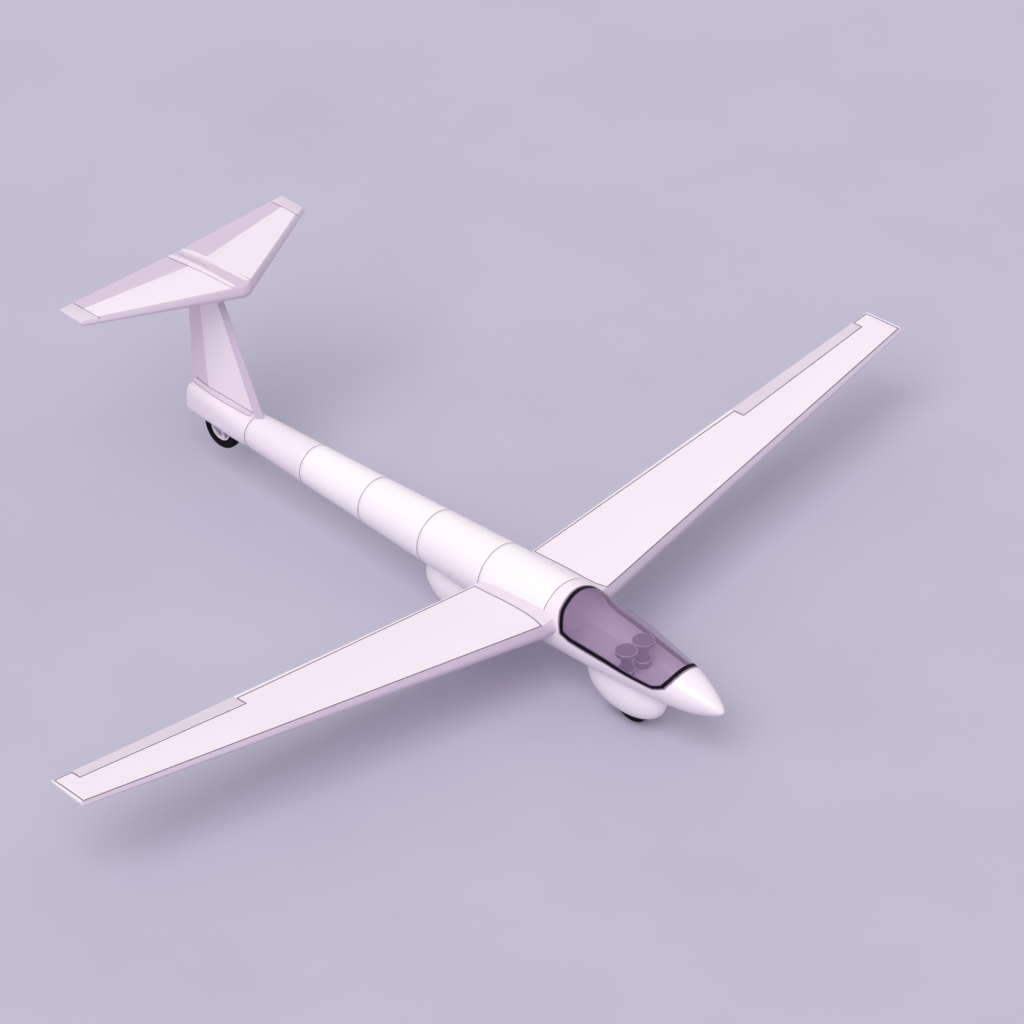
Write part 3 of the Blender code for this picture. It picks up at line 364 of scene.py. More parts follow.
hull = {
    # y, half width, widest z, top z, belly z, squareness
    "stations": (
        (-4.293, 0.004, 0.774, 0.778, 0.770, 2.0),
        (-4.286, 0.022, 0.774, 0.792, 0.756, 2.0),
        (-4.270, 0.042, 0.775, 0.810, 0.740, 2.0),
        (-4.240, 0.065, 0.778, 0.836, 0.719, 2.0),
        (-4.200, 0.089, 0.783, 0.863, 0.698, 2.0),
        (-4.140, 0.119, 0.790, 0.899, 0.673, 2.0),
        (-4.020, 0.170, 0.803, 0.960, 0.631, 2.0),
        (-3.870, 0.223, 0.820, 1.019, 0.598, 2.0),
        (-3.690, 0.265, 0.842, 1.073, 0.573, 2.0),
        (-3.400, 0.310, 0.862, 1.130, 0.548, 2.0),
        (-3.140, 0.337, 0.866, 1.205, 0.535, 2.0),
        (-2.850, 0.361, 0.874, 1.262, 0.525, 2.0),
        (-2.600, 0.380, 0.885, 1.281, 0.520, 2.0),
        (-2.300, 0.393, 0.898, 1.287, 0.516, 2.0),
        (-1.940, 0.397, 0.903, 1.300, 0.506, 2.0),
        (-0.940, 0.366, 0.912, 1.278, 0.546, 2.0),
        (0.051, 0.325, 0.912, 1.237, 0.587, 2.0),
        (1.034, 0.284, 0.912, 1.196, 0.628, 2.0),
        (2.020, 0.246, 0.914, 1.160, 0.668, 2.0),
        (2.970, 0.208, 0.920, 1.128, 0.712, 2.0),
    ),
    "rings": (
        ("fuselage_centre", -1.940, -0.940),
        ("boom_1", -0.940, 0.051),
        ("boom_2", 0.051, 1.034),
        ("boom_3", 1.034, 2.020),
        ("boom_4", 2.020, 2.970),
    ),
    "columns": 96,
    "wall": 0.022,
    "lip": 0.020,
    "chamfer": 0.0015,
    "seamHalf": 0.005,
    "tipLength": 0.10,
    # the cockpit's lining: its front and rear stations, and the depth of the domed bulkhead
    "liningFront": -3.84,
    "liningRear": -1.97,
    "domeDepth": 0.085,
    # canopy edge: y, and degrees round the section from its top, from the rear arch to the nose
    "edge": (
        (-2.086, 0.0), (-2.092, 14.0), (-2.122, 48.0), (-2.219, 83.0), (-2.364, 88.6),
        (-2.530, 89.2), (-2.672, 89.6), (-2.881, 91.0), (-3.089, 93.7), (-3.293, 95.5),
        (-3.452, 96.0), (-3.524, 95.0), (-3.595, 88.1), (-3.674, 77.1), (-3.727, 51.6),
        (-3.749, 30.3), (-3.755, 15.0), (-3.757, 0.0),
    ),
}


def hullRows(y):
    # rows of the fuselage's table at any y
    return smoothTable(hull["stations"], y)


def edgeCurve():
    # canopy edge as (y, angle), smoothed and sampled evenly, top of rear arch to front top
    edge = np.array(hull["edge"])
    knots = np.column_stack([edge[:, 0], np.radians(edge[:, 1])])
    radius = 0.38
    flat = np.column_stack([knots[:, 0], knots[:, 1] * radius])
    # mirrored beyond both ends so that the curve crosses the top squarely
    ahead = flat[1:3][::-1] * np.array([1, -1])
    behind = flat[-3:-1][::-1] * np.array([1, -1])
    flat = np.vstack([ahead, flat, behind])
    length = np.concatenate([[0], np.cumsum(np.linalg.norm(np.diff(flat, axis=0), axis=1))])
    dense = np.linspace(length[0], length[-1], 1600)
    curve = np.column_stack([np.interp(dense, length, flat[:, k]) for k in (0, 1)])
    kernel = np.hanning(11)
    kernel /= kernel.sum()
    curve = np.column_stack([np.convolve(curve[:, k], kernel, mode="same") for k in (0, 1)])
    inside = (dense > length[2]) & (dense < length[-3])
    curve = curve[inside]
    curve[0, 1] = 0.0
    curve[-1, 1] = 0.0
    return curve, radius


edgeFlat, edgeRadius = edgeCurve()


def edgeOffset(distance):
    # the canopy edge moved inwards over the skin; returns y and angle from rear top to front top
    ahead = np.gradient(edgeFlat, axis=0)
    ahead /= np.linalg.norm(ahead, axis=1)[:, None]
    normal = np.column_stack([ahead[:, 1], -ahead[:, 0]])
    middle = np.array([-2.95, 0.0])
    sign = np.sign(np.sum((middle - edgeFlat) * normal, axis=1))
    moved = edgeFlat + distance * normal * np.median(sign)
    moved = moved[moved[:, 1] >= -1e-6]
    return moved[:, 0], np.maximum(moved[:, 1], 0) / edgeRadius


def hullPoint(y, angle, inset=0.0):
    # one point of the fuselage's skin for each pair of y and angle
    rows = hullRows(y)
    return sectionPoints(rows, np.asarray(angle)[:, None], inset)[:, 0]


def edgeLoop(distance, inset, count=220):
    # closed loop on the skin: port half from rear to front, then starboard half back
    y, angle = edgeOffset(distance)
    length = np.concatenate([[0], np.cumsum(np.hypot(np.diff(y), edgeRadius * np.diff(angle)))])
    even = np.linspace(0, length[-1], count)
    y = np.interp(even, length, y)
    angle = np.interp(even, length, angle)
    angle[0] = 0.0
    angle[-1] = 0.0
    y = np.concatenate([y, y[-2:0:-1]])
    angle = np.concatenate([angle, -angle[-2:0:-1]])
    return hullPoint(y, angle, inset)


def openingAngle(y, distance=0.0):
    # half angle of the canopy opening at each y, zero outside it
    ys, angles = edgeOffset(distance)
    order = np.argsort(ys)
    front, rear = ys.min(), ys.max()
    out = np.interp(y, ys[order], angles[order])
    return np.where((y > front) & (y < rear), out, 0.0)


def openingRows(distance=0.0, inner=60):
    # y stations inside the opening, packed where its edge runs across the aircraft
    ys, angles = edgeOffset(distance)
    length = np.concatenate([[0], np.cumsum(np.hypot(np.diff(ys), edgeRadius * np.diff(angles)))])
    even = np.linspace(0, length[-1], 2 * inner)
    picked = np.interp(even, length, ys)
    return np.unique(np.round(picked, 5))


def shellFromRows(ys, inset, skin):
    # skin of the fuselage over the given stations: angle = half + share of (turn - 2 half), where
    # half is the half angle of the canopy's opening
    columns = hull["columns"]
    half = openingAngle(ys)
    share = np.linspace(0, 1, columns)
    angles = half[:, None] + share[None, :] * (2 * np.pi - 2 * half[:, None])
    points = sectionPoints(hullRows(ys), angles, inset)
    rows = len(ys)
    closed = half < 1e-6
    index = np.arange(rows * columns).reshape(rows, columns)
    index[closed, -1] = index[closed, 0]
    faces = np.stack([index[:-1, :-1], index[:-1, 1:], index[1:, 1:], index[1:, :-1]], -1)
    return points.reshape(-1, 3), faces.reshape(-1, 4).tolist(), skin


def buildCockpitShell():
    # nose and cockpit: outer skin with the canopy's opening, lining, nose wall, bulkhead and rim
    columns, wall, tipLength = hull["columns"], hull["wall"], hull["tipLength"]
    frontY, rearY = hull["liningFront"], hull["liningRear"]
    inside = openingRows()
    front = hull["stations"][0][0]
    tip = front + tipLength * (np.linspace(0, 1, 14) ** 2)
    ahead = np.linspace(front + tipLength, inside[0], 26)[1:-1]
    behind = np.linspace(inside[-1], hull["rings"][0][1] - hull["seamHalf"], 8)[1:]
    ys = np.concatenate([tip, ahead, inside, behind])
    # the outer skin takes the darker wing tone: painted shade that dims the nose against the white hull
    points, faces, skin = shellFromRows(ys, 0.0, "skin")
    noseCap = [list(range(columns - 1))]
    rear = (len(ys) - 1) * columns
    rearLip = sectionPoints(hullRows(ys[-1:]), np.linspace(0, 2 * np.pi, columns), hull["lip"])[0]
    points = np.vstack([points, rearLip])
    start = len(points) - columns
    lip = [[rear + i, rear + i + 1, start + i + 1, start + i] for i in range(columns - 1)]
    outer = (points, faces + noseCap + lip, "skin")
    innerYs = np.concatenate([[frontY], inside, np.linspace(inside[-1], rearY, 5)[1:]])
    liner = shellFromRows(innerYs, wall, "lining")
    liner = (liner[0], [face[::-1] for face in liner[1]], "lining")
    around = np.linspace(0, 2 * np.pi, columns, endpoint=False)
    noseWall = (sectionPoints(hullRows([frontY]), around, wall)[0], [list(range(columns))], "lining")
    # bulkhead behind the seats: a dome, radius = cosine and depth = sine of the turn
    turn = np.linspace(0, 0.47 * np.pi, 9)
    edge = sectionPoints(hullRows([rearY]), around, wall)[0]
    middle = np.array([0.0, rearY, hullRows([rearY])[0, 2]])
    dome = middle + (edge - middle) * np.cos(turn)[:, None, None]
    dome[:, :, 1] = rearY - hull["domeDepth"] * (1 - np.sin(turn)[:, None])
    faces = quads(len(turn), columns, wrap=True, flip=True)
    faces.append(list(range((len(turn) - 1) * columns, len(turn) * columns)))
    bulkhead = (dome.reshape(-1, 3), faces, "lining")
    sill = np.stack([edgeLoop(0.0, 0.0), edgeLoop(0.0, wall)])
    rim = (sill.reshape(-1, 3), quads(2, sill.shape[1], wrap=True), "skin")
    makePiece(
        "cockpit_shell", [outer, liner, noseWall, bulkhead, rim], "airframe",
        ("nose_cone", "cockpit_tub"),
    )


def buildRings():
    # five rings, each end with a small chamfer and a lip turned in, and sealant in their seams
    half, chamfer, columns = hull["seamHalf"], hull["chamfer"], hull["columns"]
    angles = np.linspace(0, 2 * np.pi, columns, endpoint=False)
    for name, front, rear in hull["rings"]:
        ys = np.linspace(front + half, rear - half, 22)
        first, last = ys[:1], ys[-1:]
        ys = np.concatenate([first, first, first + chamfer, ys[1:-1], last - chamfer, last, last])
        rows = hullRows(ys)
        insets = np.zeros(len(rows))
        insets[[0, -1]] = hull["lip"]
        insets[[1, -2]] = chamfer
        points = np.concatenate([sectionPoints(rows[k:k + 1], angles, insets[k]) for k in range(len(rows))])
        # the last ring takes the darker wing tone: painted shade towards the tail
        skin = "skin" if name == hull["rings"][-1][0] else "hull"
        shell = (points.reshape(-1, 3), quads(len(rows), columns, wrap=True), skin)
        makePiece(f"{name}_skin", [shell], "airframe", (name,), sharp=50)
    shells = []
    for seam in [front for name, front, rear in hull["rings"]] + [hull["rings"][-1][2]]:
        rows = hullRows(np.array([seam - half - 0.0005, seam + half + 0.0005]))
        points = sectionPoints(rows, angles, 0.0012)
        skin = "line" if seam == hull["rings"][0][1] else "softLine"
        shells.append((points.reshape(-1, 3), quads(2, columns, wrap=True), skin))
    makePiece("ring_seam_sealant", shells, "airframe")


buildCockpitShell()
buildRings()
print("stage: fuselage")

canopy = {
    "seal": 0.021,
    "frameWidth": 0.068,
    "frameDepth": 0.020,
    "glass": 0.006,
    "hinges": ((0.39539, -2.52, 0.8966), (0.35278, -3.08, 0.84691)),
    "knuckleRadius": 0.009,
    "knuckleLength": 0.040,
    "columns": 73,
}


def loopBand(outerLoop, innerLoop, skin):
    # strip between two closed loops of equal length
    rows = np.stack([outerLoop, innerLoop])
    return rows.reshape(-1, 3), quads(2, rows.shape[1], wrap=True), skin


def buildCanopy():
    # frame: bands between loops at growing distances from the canopy's edge; pane: two skins
    seal, width, depth = canopy["seal"], canopy["frameWidth"], canopy["frameDepth"]
    columns = canopy["columns"]
    loops = [
        edgeLoop(0.0015, depth),
        edgeLoop(0.0015, 0.001),
        edgeLoop(seal, 0.0005),
        edgeLoop(seal + 0.001, -0.0006),
        edgeLoop(width - 0.004, -0.0006),
        edgeLoop(width, 0.002),
        edgeLoop(width, depth),
    ]
    skins = ["seal", "seal", "frame", "frame", "frame", "trim"]
    shells = [loopBand(a, b, skin) for a, b, skin in zip(loops, loops[1:], skins)]
    shells.append(loopBand(loops[-1], loops[0], "trim"))
    makePiece("canopy_frame_skin", shells, "canopy", ("canopy_frame",))

    inner = width - 0.0005
    ys = openingRows(inner, 60)
    half = openingAngle(ys, inner)
    half[[0, -1]] = 0.0
    share = np.linspace(-1, 1, columns)
    shells = []
    for inset, turned in ((0.0, False), (canopy["glass"], True)):
        points = sectionPoints(hullRows(ys), half[:, None] * share[None, :], inset)
        shells.append((points.reshape(-1, 3), quads(len(ys), columns, flip=turned), "glass"))
    makePiece("canopy_pane", shells, "canopy", ("canopy_glass",), sharp=60)


def cylinderBetween(start, end, radius, skin, steps=24):
    # round bar between two points, its ends chamfered by 0.12 of the radius
    start, end = np.array(start, float), np.array(end, float)
    along = (end - start) / np.linalg.norm(end - start)
    side = np.cross(along, [0, 0, 1.0])
    side /= np.linalg.norm(side)
    up = np.cross(side, along)
    angles = np.linspace(0, 2 * np.pi, steps, endpoint=False)
    ring = np.cos(angles)[:, None] * side + np.sin(angles)[:, None] * up
    chamfer = 0.12 * radius
    rings = [
        start + (radius - chamfer) * ring,
        start + along * chamfer + radius * ring,
        end - along * chamfer + radius * ring,
        end + (radius - chamfer) * ring,
    ]
    return loftShell(rings, skin)


def blockShell(low, high, skin, bevel=0.002):
    # box with its edges cut back, as an octagonal loft along Y
    (x0, y0, z0), (x1, y1, z1) = low, high
    outline = [
        (x0 + bevel, z0), (x1 - bevel, z0), (x1, z0 + bevel), (x1, z1 - bevel),
        (x1 - bevel, z1), (x0 + bevel, z1), (x0, z1 - bevel), (x0, z0 + bevel),
    ]
    rings = [[(x, y, z) for x, z in outline] for y in (y0, y1)]
    return loftShell(rings, skin)


def buildHinges():
    # three knuckles in line at each hinge, the middle one fixed, each with its leaf
    rear, front = np.array(canopy["hinges"][0]), np.array(canopy["hinges"][1])
    along = (front - rear) / np.linalg.norm(front - rear)
    half = canopy["knuckleLength"] / 2
    fixed, moving = [], []
    for centre in (rear, front):
        for shift, shells, up in ((0, fixed, -1), (-1, moving, 1), (1, moving, 1)):
            middle = centre + along * shift * (2 * half + 0.0003)
            tips = (middle - along * half, middle + along * half)
            shells.append(cylinderBetween(*tips, canopy["knuckleRadius"], "steel"))
            ends = sorted((up * 0.004, up * 0.034))
            low = middle + np.array([-0.020, -0.9 * half, ends[0]])
            high = middle + np.array([0.0045, 0.9 * half, ends[1]])
            shells.append(blockShell(low, high, "steel"))
    makePiece("canopy_hinge_fixed_leaves", fixed, "airframe")
    makePiece("canopy_hinge_moving_leaves", moving, "canopy")


buildCanopy()
buildHinges()
print("stage: canopy")

tail = {
    # y, half width, widest z, top z, belly z, squareness above and below
    "stations": (
        (2.970, 0.208, 0.920, 1.128, 0.712, 2.0, 2.0),
        (3.200, 0.196, 0.925, 1.130, 0.722, 2.5, 2.8),
        (3.600, 0.174, 0.932, 1.131, 0.742, 3.2, 3.2),
        (3.930, 0.154, 0.940, 1.132, 0.760, 3.6, 3.8),
        (4.005, 0.150, 0.942, 1.132, 0.764, 3.6, 3.8),
    ),
    "front": 2.974,
    "rearRound": 0.016,
    "wheelY": 3.555,
    "wellHalf": (0.078, 0.290),
    "wellTop": 0.977,
}
pods = {
    "halfSize": (0.220, 0.560, 0.348),
    "pitch": math.radians(4),
    "wheels": (("front", -2.963), ("rear", -0.453)),
    "centreFromWheel": 0.090,
    "centreZ": 0.425,
    "wellTop": 0.530,
}


def slotColumns(halfWidth, power, slot, count=88):
    # section angles with exact columns at the two edges of a belly slot, for each row
    share = np.clip(slot / halfWidth, 0, 0.92) ** (power / 2)
    cut = np.arcsin(share)
    around = np.linspace(0, 1, count)
    main = (np.pi + cut)[:, None] + around[None, :] * (2 * np.pi - 2 * cut)[:, None]
    belly = (np.pi - cut)[:, None] + np.linspace(0, 1, 6)[None, 1:-1] * (2 * cut)[:, None]
    return np.concatenate([main, belly + 0 * main[:, :1]], axis=1), count


def slottedShell(rows, points, mainCount, slotLow, slotHigh, skin):
    # leaves out the belly columns between two stations
    count = points.shape[1]
    ys = np.asarray(rows)[:, 0]
    middle = 0.5 * (ys[:-1] + ys[1:])

    def keep(r, c):
        return ~((c >= mainCount - 1) & (middle[r] > slotLow) & (middle[r] < slotHigh))

    return points.reshape(-1, 3), quads(len(rows), count, wrap=True, keep=keep), skin


def wellLiner(y, halfWidth, halfLength, low, top, skin="well"):
    # open-bottomed box that lines a wheel well
    low = np.broadcast_to(low, (4,))
    front, rear = y - halfLength, y + halfLength
    corners = [(-halfWidth, front), (halfWidth, front), (halfWidth, rear), (-halfWidth, rear)]
    points = [(*corner, height) for corner, height in zip(corners, low)]
    points += [(*corner, top) for corner in corners]
    faces = [(0, 1, 5, 4), (1, 2, 6, 5), (2, 3, 7, 6), (3, 0, 4, 7), (4, 5, 6, 7)]
    return np.array(points), faces, skin


def buildTailBlock():
    # tail block: its sections run from round to square, and its belly is open round the wheel
    halfWidth, halfLength = tail["wellHalf"]
    y, rounding, columns = tail["wheelY"], tail["rearRound"], hull["columns"]
    front, rear = tail["front"], tail["stations"][-1][0]
    turn = np.linspace(0, np.pi / 2, 6)
    ys = np.unique(np.concatenate([
        np.linspace(front, rear - rounding, 34), [y - halfLength, y + halfLength],
        rear - rounding * (1 - np.sin(turn)),
    ]))
    rows = smoothTable(tail["stations"], ys)
    # the last 16 mm round in towards the flat rear face
    back = np.clip((ys - rear + rounding) / rounding, 0, 1)
    inset = 0.75 * rounding * (1 - np.sqrt(np.clip(1 - back**2, 0, 1)))
    rows[:, 1] -= inset
    rows[:, 3] -= inset
    rows[:, 4] += inset
    angles, mainCount = slotColumns(rows[:, 1], rows[:, -1], halfWidth)
    points = sectionPoints(rows, angles)
    # the tail block takes the darker wing tone: painted shade towards the tail
    shell = slottedShell(rows, points, mainCount, y - halfLength, y + halfLength, "skin")
    rearFace = list(range((len(ys) - 1) * points.shape[1], len(ys) * points.shape[1]))
    shell = (shell[0], shell[1] + [rearFace], "skin")
    around = np.linspace(0, 2 * np.pi, columns, endpoint=False)
    row = smoothTable(tail["stations"], [front])
    lip = np.concatenate([sectionPoints(row, around, inset) for inset in (hull["lip"], 0.0)])
    frontFace = (lip.reshape(-1, 3), quads(2, columns, wrap=True), "skin")
    belly = float(smoothTable(tail["stations"], [y])[0, 4])
    liner = wellLiner(y, halfWidth, halfLength, belly + 0.004, tail["wellTop"])
    makePiece("tail_block_skin", [shell, frontFace, liner], "airframe", ("tail_block",))


def buildPods():
    # ellipsoids pitched by 4 degrees, cut by the hull above and open below round the wheel:
    # y = along cos - up sin and z = along sin + up cos of the pitch
    a, b, c = pods["halfSize"]
    halfWidth, halfLength = tail["wellHalf"]
    cosine, sine = math.cos(pods["pitch"]), math.sin(pods["pitch"])
    for name, wheelY in pods["wheels"]:
        centre = np.array([0.0, wheelY + pods["centreFromWheel"], pods["centreZ"]])
        slot = (wheelY - halfLength - centre[1], wheelY + halfLength - centre[1])
        even = -b * np.cos(np.linspace(0.02, np.pi - 0.02, 60))
        s = np.unique(np.round(np.concatenate([even, slot]), 5))
        r = np.sqrt(1 - (s / b) ** 2)
        rows = np.column_stack([s, a * r, 0 * s, c * r, -c * r, 2 + 0 * s])
        angles, mainCount = slotColumns(rows[:, 1], rows[:, 5], halfWidth)
        points = sectionPoints(rows, angles)
        y = points[..., 1] * cosine - points[..., 2] * sine
        z = points[..., 1] * sine + points[..., 2] * cosine
        points = np.stack([points[..., 0], y, z], -1) + centre
        # nothing of the pod stands above the hull's belly, taken 10 mm inside its skin
        hullAt = hullRows(np.clip(points[..., 1].ravel(), -4.2, 2.9))
        across = np.clip(np.abs(points[..., 0].ravel()) / (hullAt[:, 1] - 0.010), 0, 1)
        belly = hullAt[:, 2] - (hullAt[:, 2] - hullAt[:, 4] - 0.010) * np.sqrt(1 - across**2)
        points[..., 2] = np.minimum(points[..., 2], belly.reshape(points.shape[:2]))
        shell = slottedShell(rows, points, mainCount, slot[0], slot[1], "hull")
        columns = points.shape[1]
        ends = [list(range(columns))[::-1], list(range((len(s) - 1) * columns, len(s) * columns))]
        shell = (shell[0], shell[1] + ends, "hull")
        lips = []
        for edge in (slot[0], slot[0], slot[1], slot[1]):
            q = math.sqrt(1 - (edge / b) ** 2)
            bottom = -c * q * math.sqrt(1 - (halfWidth / (a * q)) ** 2)
            lips.append(centre[2] + edge * sine + bottom * cosine + 0.006)
        liner = wellLiner(wheelY, halfWidth, halfLength, lips, pods["wellTop"])
        makePiece(f"{name}_pod_skin", [shell, liner], "airframe", (f"{name}_wheel_pod",))


buildTailBlock()
buildPods()
print("stage: tail block and pods")

wheel = {
    "tyreRadius": 0.260,
    "tyreHalf": 0.060,
    "rimRadius": 0.155,
    "hubRadius": 0.045,
    "places": (("front", -2.963, 0.260), ("rear", -0.453, 0.260), ("tail", 3.555, 0.697)),
    "grooves": (0.020, 0.0, -0.020),
    "crown": 0.2598,
    "spokes": 6,
    "firstSpoke": 0.3,
    # radius, and distance from the wheel's middle plane
    "bolt": ((0, 0.064), (0.0045, 0.064), (0.005, 0.0632), (0.005, 0.059), (0, 0.059)),
}


def tyreShell(centre):
    # side walls as (radius, share of the half width), and three grooves 6 mm deep in the crown
    half, top = wheel["tyreHalf"], wheel["crown"]
    side = [
        (0.1553, 0.70), (0.165, 0.80), (0.172, 0.80), (0.178, 0.94), (0.196, 0.995),
        (0.216, 1.0), (0.232, 0.955), (0.245, 0.85), (0.2535, 0.70), (0.258, 0.52),
    ]
    profile = [(r, k * half) for r, k in side]
    for groove in wheel["grooves"]:
        profile += [(top, groove + 0.0035), (top - 0.006, groove + 0.0022)]
        profile += [(top - 0.006, groove - 0.0022), (top, groove - 0.0035)]
    profile += [(r, -k * half) for r, k in reversed(side)]
    return lathe(profile, centre, "X", "rubber", 96)


def wheelShells(centre):
    # rim with a recessed disc between hub and rim, and spokes standing on both faces
    rim, hub = wheel["rimRadius"] - 0.0003, wheel["hubRadius"]
    ring = mirroredProfile([
        (rim, 0.044), (rim - 0.004, 0.045), (rim - 0.012, 0.045), (rim - 0.016, 0.042), (rim - 0.020, 0.020),
    ])
    disc = mirroredProfile([(rim - 0.0195, 0.008), (hub - 0.002, 0.008)])
    boss = mirroredProfile([
        (0.0163, 0.058), (0.0175, 0.060), (hub - 0.010, 0.060), (hub - 0.006, 0.057), (hub, 0.020),
    ])
    # the recessed disc's darker paint is painted shade
    parts = ((ring, "rim"), (disc, "recess"), (boss, "rim"))
    shells = [lathe(profile, centre, "X", skin) for profile, skin in parts]
    stations = ((hub - 0.004, 0.018, 0.040), (0.095, 0.013, 0.034), (rim - 0.017, 0.016, 0.038))
    bevel = 0.004
    for k in range(wheel["spokes"]):
        angle = 2 * np.pi * k / wheel["spokes"] + wheel["firstSpoke"]
        turnY = np.array([0, np.cos(angle), np.sin(angle)])
        turnZ = np.array([0, -np.sin(angle), np.cos(angle)])
        rings = []
        for radius, width, depth in stations:
            outline = [
                (-depth + bevel, -width), (depth - bevel, -width), (depth, -width + bevel),
                (depth, width - bevel), (depth - bevel, width), (-depth + bevel, width),
                (-depth, width - bevel), (-depth, -width + bevel),
            ]
            rings.append([np.array([u, 0, 0]) + radius * turnY + v * turnZ + centre for u, v in outline])
        shells.append(loftShell(rings, "rim"))
    # bolt heads on the hub, half way between the spokes
    for k in range(wheel["spokes"]):
        angle = 2 * np.pi * k / wheel["spokes"] + wheel["firstSpoke"] + np.pi / wheel["spokes"]
        spot = np.array(centre) + 0.030 * np.array([0, np.cos(angle), np.sin(angle)])
        for side in (-1, 1):
            profile = [(radius, along * side) for radius, along in wheel["bolt"]]
            shells.append(lathe(profile, spot, "X", "steel", 12, closed=False))
    return shells


def buildWheels():
    for name, y, z in wheel["places"]:
        body, centre = f"{name}_wheel", np.array([0.0, y, z])
        makePiece(f"{name}_tyre_tread", [tyreShell(centre)], body, (f"{name}_tyre",), sharp=30)
        makePiece(f"{name}_spoked_wheel", wheelShells(centre), body, (body,), sharp=30)


buildWheels()
print("stage: wheels")

wing = {
    # x, leading y, trailing y, deck z at the front and back, thickness
    "root": (0.480, -2.122, -0.975, 1.040, 1.000, 0.172),
    "tip": (6.288, -1.192, -0.650, 1.312, 1.302, 0.030),
    "rake": 0.033,
    "bevel": 0.050,
    "aileronX": (3.839, 6.005),
    "hingeY": (-0.9555, -0.7865),
    "endGap": 0.008,
    "runningGap": 0.006,
    "lineWidth": 0.012,
    "bandColumns": range(22),
    # joint of the wing and its root fairing in plan, from the trailing edge to the leading edge
    "rootLine": (
        (0.464, -0.998), (0.462, -1.266), (0.460, -1.525), (0.459, -1.760), (0.472, -1.920), (0.507, -2.069),
    ),
    # corners of the deck's panel line at the tip, at the leading and the trailing edge
    "deckTip": (6.262, -1.143),
    "deckBack": (6.240, -0.666),
    # where the root fairing meets the hull, in side view: over the top from the back, round the
    # nose and back underneath
    "rootTop": (
        (-0.975, 1.004), (-1.203, 1.057), (-1.498, 1.083), (-1.728, 1.105), (-1.902, 1.111), (-2.029, 1.096),
        (-2.090, 1.070),
    ),
    "rootNose": ((-2.090, 1.070), (-2.140, 1.048), (-2.168, 1.024), (-2.182, 0.991), (-2.173, 0.945),
                 (-2.112, 0.884), (-2.022, 0.817), (-1.942, 0.749)),
    "rootUnder": ((-1.942, 0.749), (-1.800, 0.722), (-1.500, 0.752), (-1.200, 0.850), (-0.975, 0.990)),
}


class Section:
    # one wing section: flat deck, bevelled leading edge, hollowed underside towards the back

    def __init__(self, leading, trailing, front, back, thickness, bevel):
        self.leading, self.trailing = leading, trailing
        self.front, self.back, self.thickness = front, back, thickness
        self.bevel = bevel
        self.chord = trailing - leading
        self.edge = min(0.006, 0.3 * thickness)

    def upper(self, y):
        # deck: straight from front to back, raised by 0.10 of the thickness x sine squared
        f = (np.asarray(y) - self.leading) / self.chord
        deck = self.front + (self.back - self.front) * f
        return deck + 0.10 * self.thickness * np.sin(np.pi * np.clip(f, 0, 1)) ** 2

    def lower(self, y):
        # underside: full depth up to 0.28 of the chord, less by the power 1.5 of the share behind
        # it, and drawn up round the nose by a quarter circle
        f = (np.asarray(y) - self.leading) / self.chord
        aft = np.clip((f - 0.28) / 0.72, 0, 1)
        depth = self.edge + (self.thickness - self.edge) * (1 - aft**1.5)
        length = 0.60 * self.thickness
        near = np.clip(1 - (np.asarray(y) - self.leading) / length, 0, 1)
        deck = self.front + (self.back - self.front) * f
        return deck - depth + 0.5 * self.thickness * (1 - np.sqrt(1 - near * near))

    def nose(self):
        # from the underside forward, round the nose and up the bevel to the deck's edge
        t, lead = self.thickness, self.leading
        crown = self.upper(lead + self.bevel)
        corners = [
            (lead + 0.60 * t, self.lower(lead + 0.60 * t)),
            (lead + 0.10 * t, self.front - 0.98 * t),
            (lead - 0.02 * t, self.front - 0.55 * t),
            (lead + 0.7 * self.bevel, crown - 0.10 * t),
            (lead + self.bevel, crown),
            (lead + self.bevel + 0.05, self.upper(lead + self.bevel + 0.05)),
        ]
        return roundedPath(corners, [0, 0.35 * t, 0.28 * t, 0.08 * t, 0.004, 0], 5)

    def topTo(self, rear, steps=9):
        # points on the deck from the bevel back
        y = np.linspace(self.leading + self.bevel + 0.05, rear, steps)[1:]
        return np.column_stack([y, self.upper(y)])

    def bottomFrom(self, rear, steps=9):
        # points on the underside, from the rear forward to the nose
        y = np.linspace(rear, self.leading + 0.60 * self.thickness, steps)[:-1]
        return np.column_stack([y, self.lower(y)])

    def whole(self):
        # outline without a control surface
        return np.vstack([self.nose(), self.topTo(self.trailing), self.bottomFrom(self.trailing)])

    def middle(self, y):
        # height of the middle line = half of upper + lower
        return 0.5 * (self.upper(y) + self.lower(y))

    def halfDepth(self, y):
        # half the depth = half of upper - lower
        return 0.5 * (self.upper(y) - self.lower(y))

    def fixedPart(self, hinge, gap):
        # outline ahead of a control surface, with a round cove about its hinge
        radius = self.halfDepth(hinge) + gap
        arc = np.radians(np.linspace(64, -64, 9))
        cove = np.column_stack([hinge - radius * np.cos(arc), self.middle(hinge) + radius * np.sin(arc)])
        rear = hinge - 0.42 * radius - 0.004
        return np.vstack([self.nose(), self.topTo(rear), cove, self.bottomFrom(rear)])

    def flap(self, hinge):
        # outline of a control surface, its nose round about the hinge
        radius = self.halfDepth(hinge)
        arc = np.radians(np.linspace(-90, -270, 13))
        front = np.column_stack([hinge + radius * np.cos(arc), self.middle(hinge) + radius * np.sin(arc)])
        y = np.linspace(hinge, self.trailing, 7)[1:]
        top = np.column_stack([y, self.upper(y)])
        bottom = np.column_stack([y, self.lower(y)])[::-1]
        return np.vstack([front, top, bottom])


def blendRow(first, last, x):
    # row at x on the straight line between two rows that start with x
    share = (x - first[0]) / (last[0] - first[0])
    return [a + share * (b - a) for a, b in zip(first, last)]


def wingSection(x):
    # section of the port wing at x
    row = blendRow(wing["root"], wing["tip"], x)
    return Section(*row[1:], wing["bevel"])


def aileronHinge(x):
    # the aileron's hinge line, straight between its ends
    (x0, x1), (y0, y1) = wing["aileronX"], wing["hingeY"]
    return y0 + (x - x0) / (x1 - x0) * (y1 - y0)


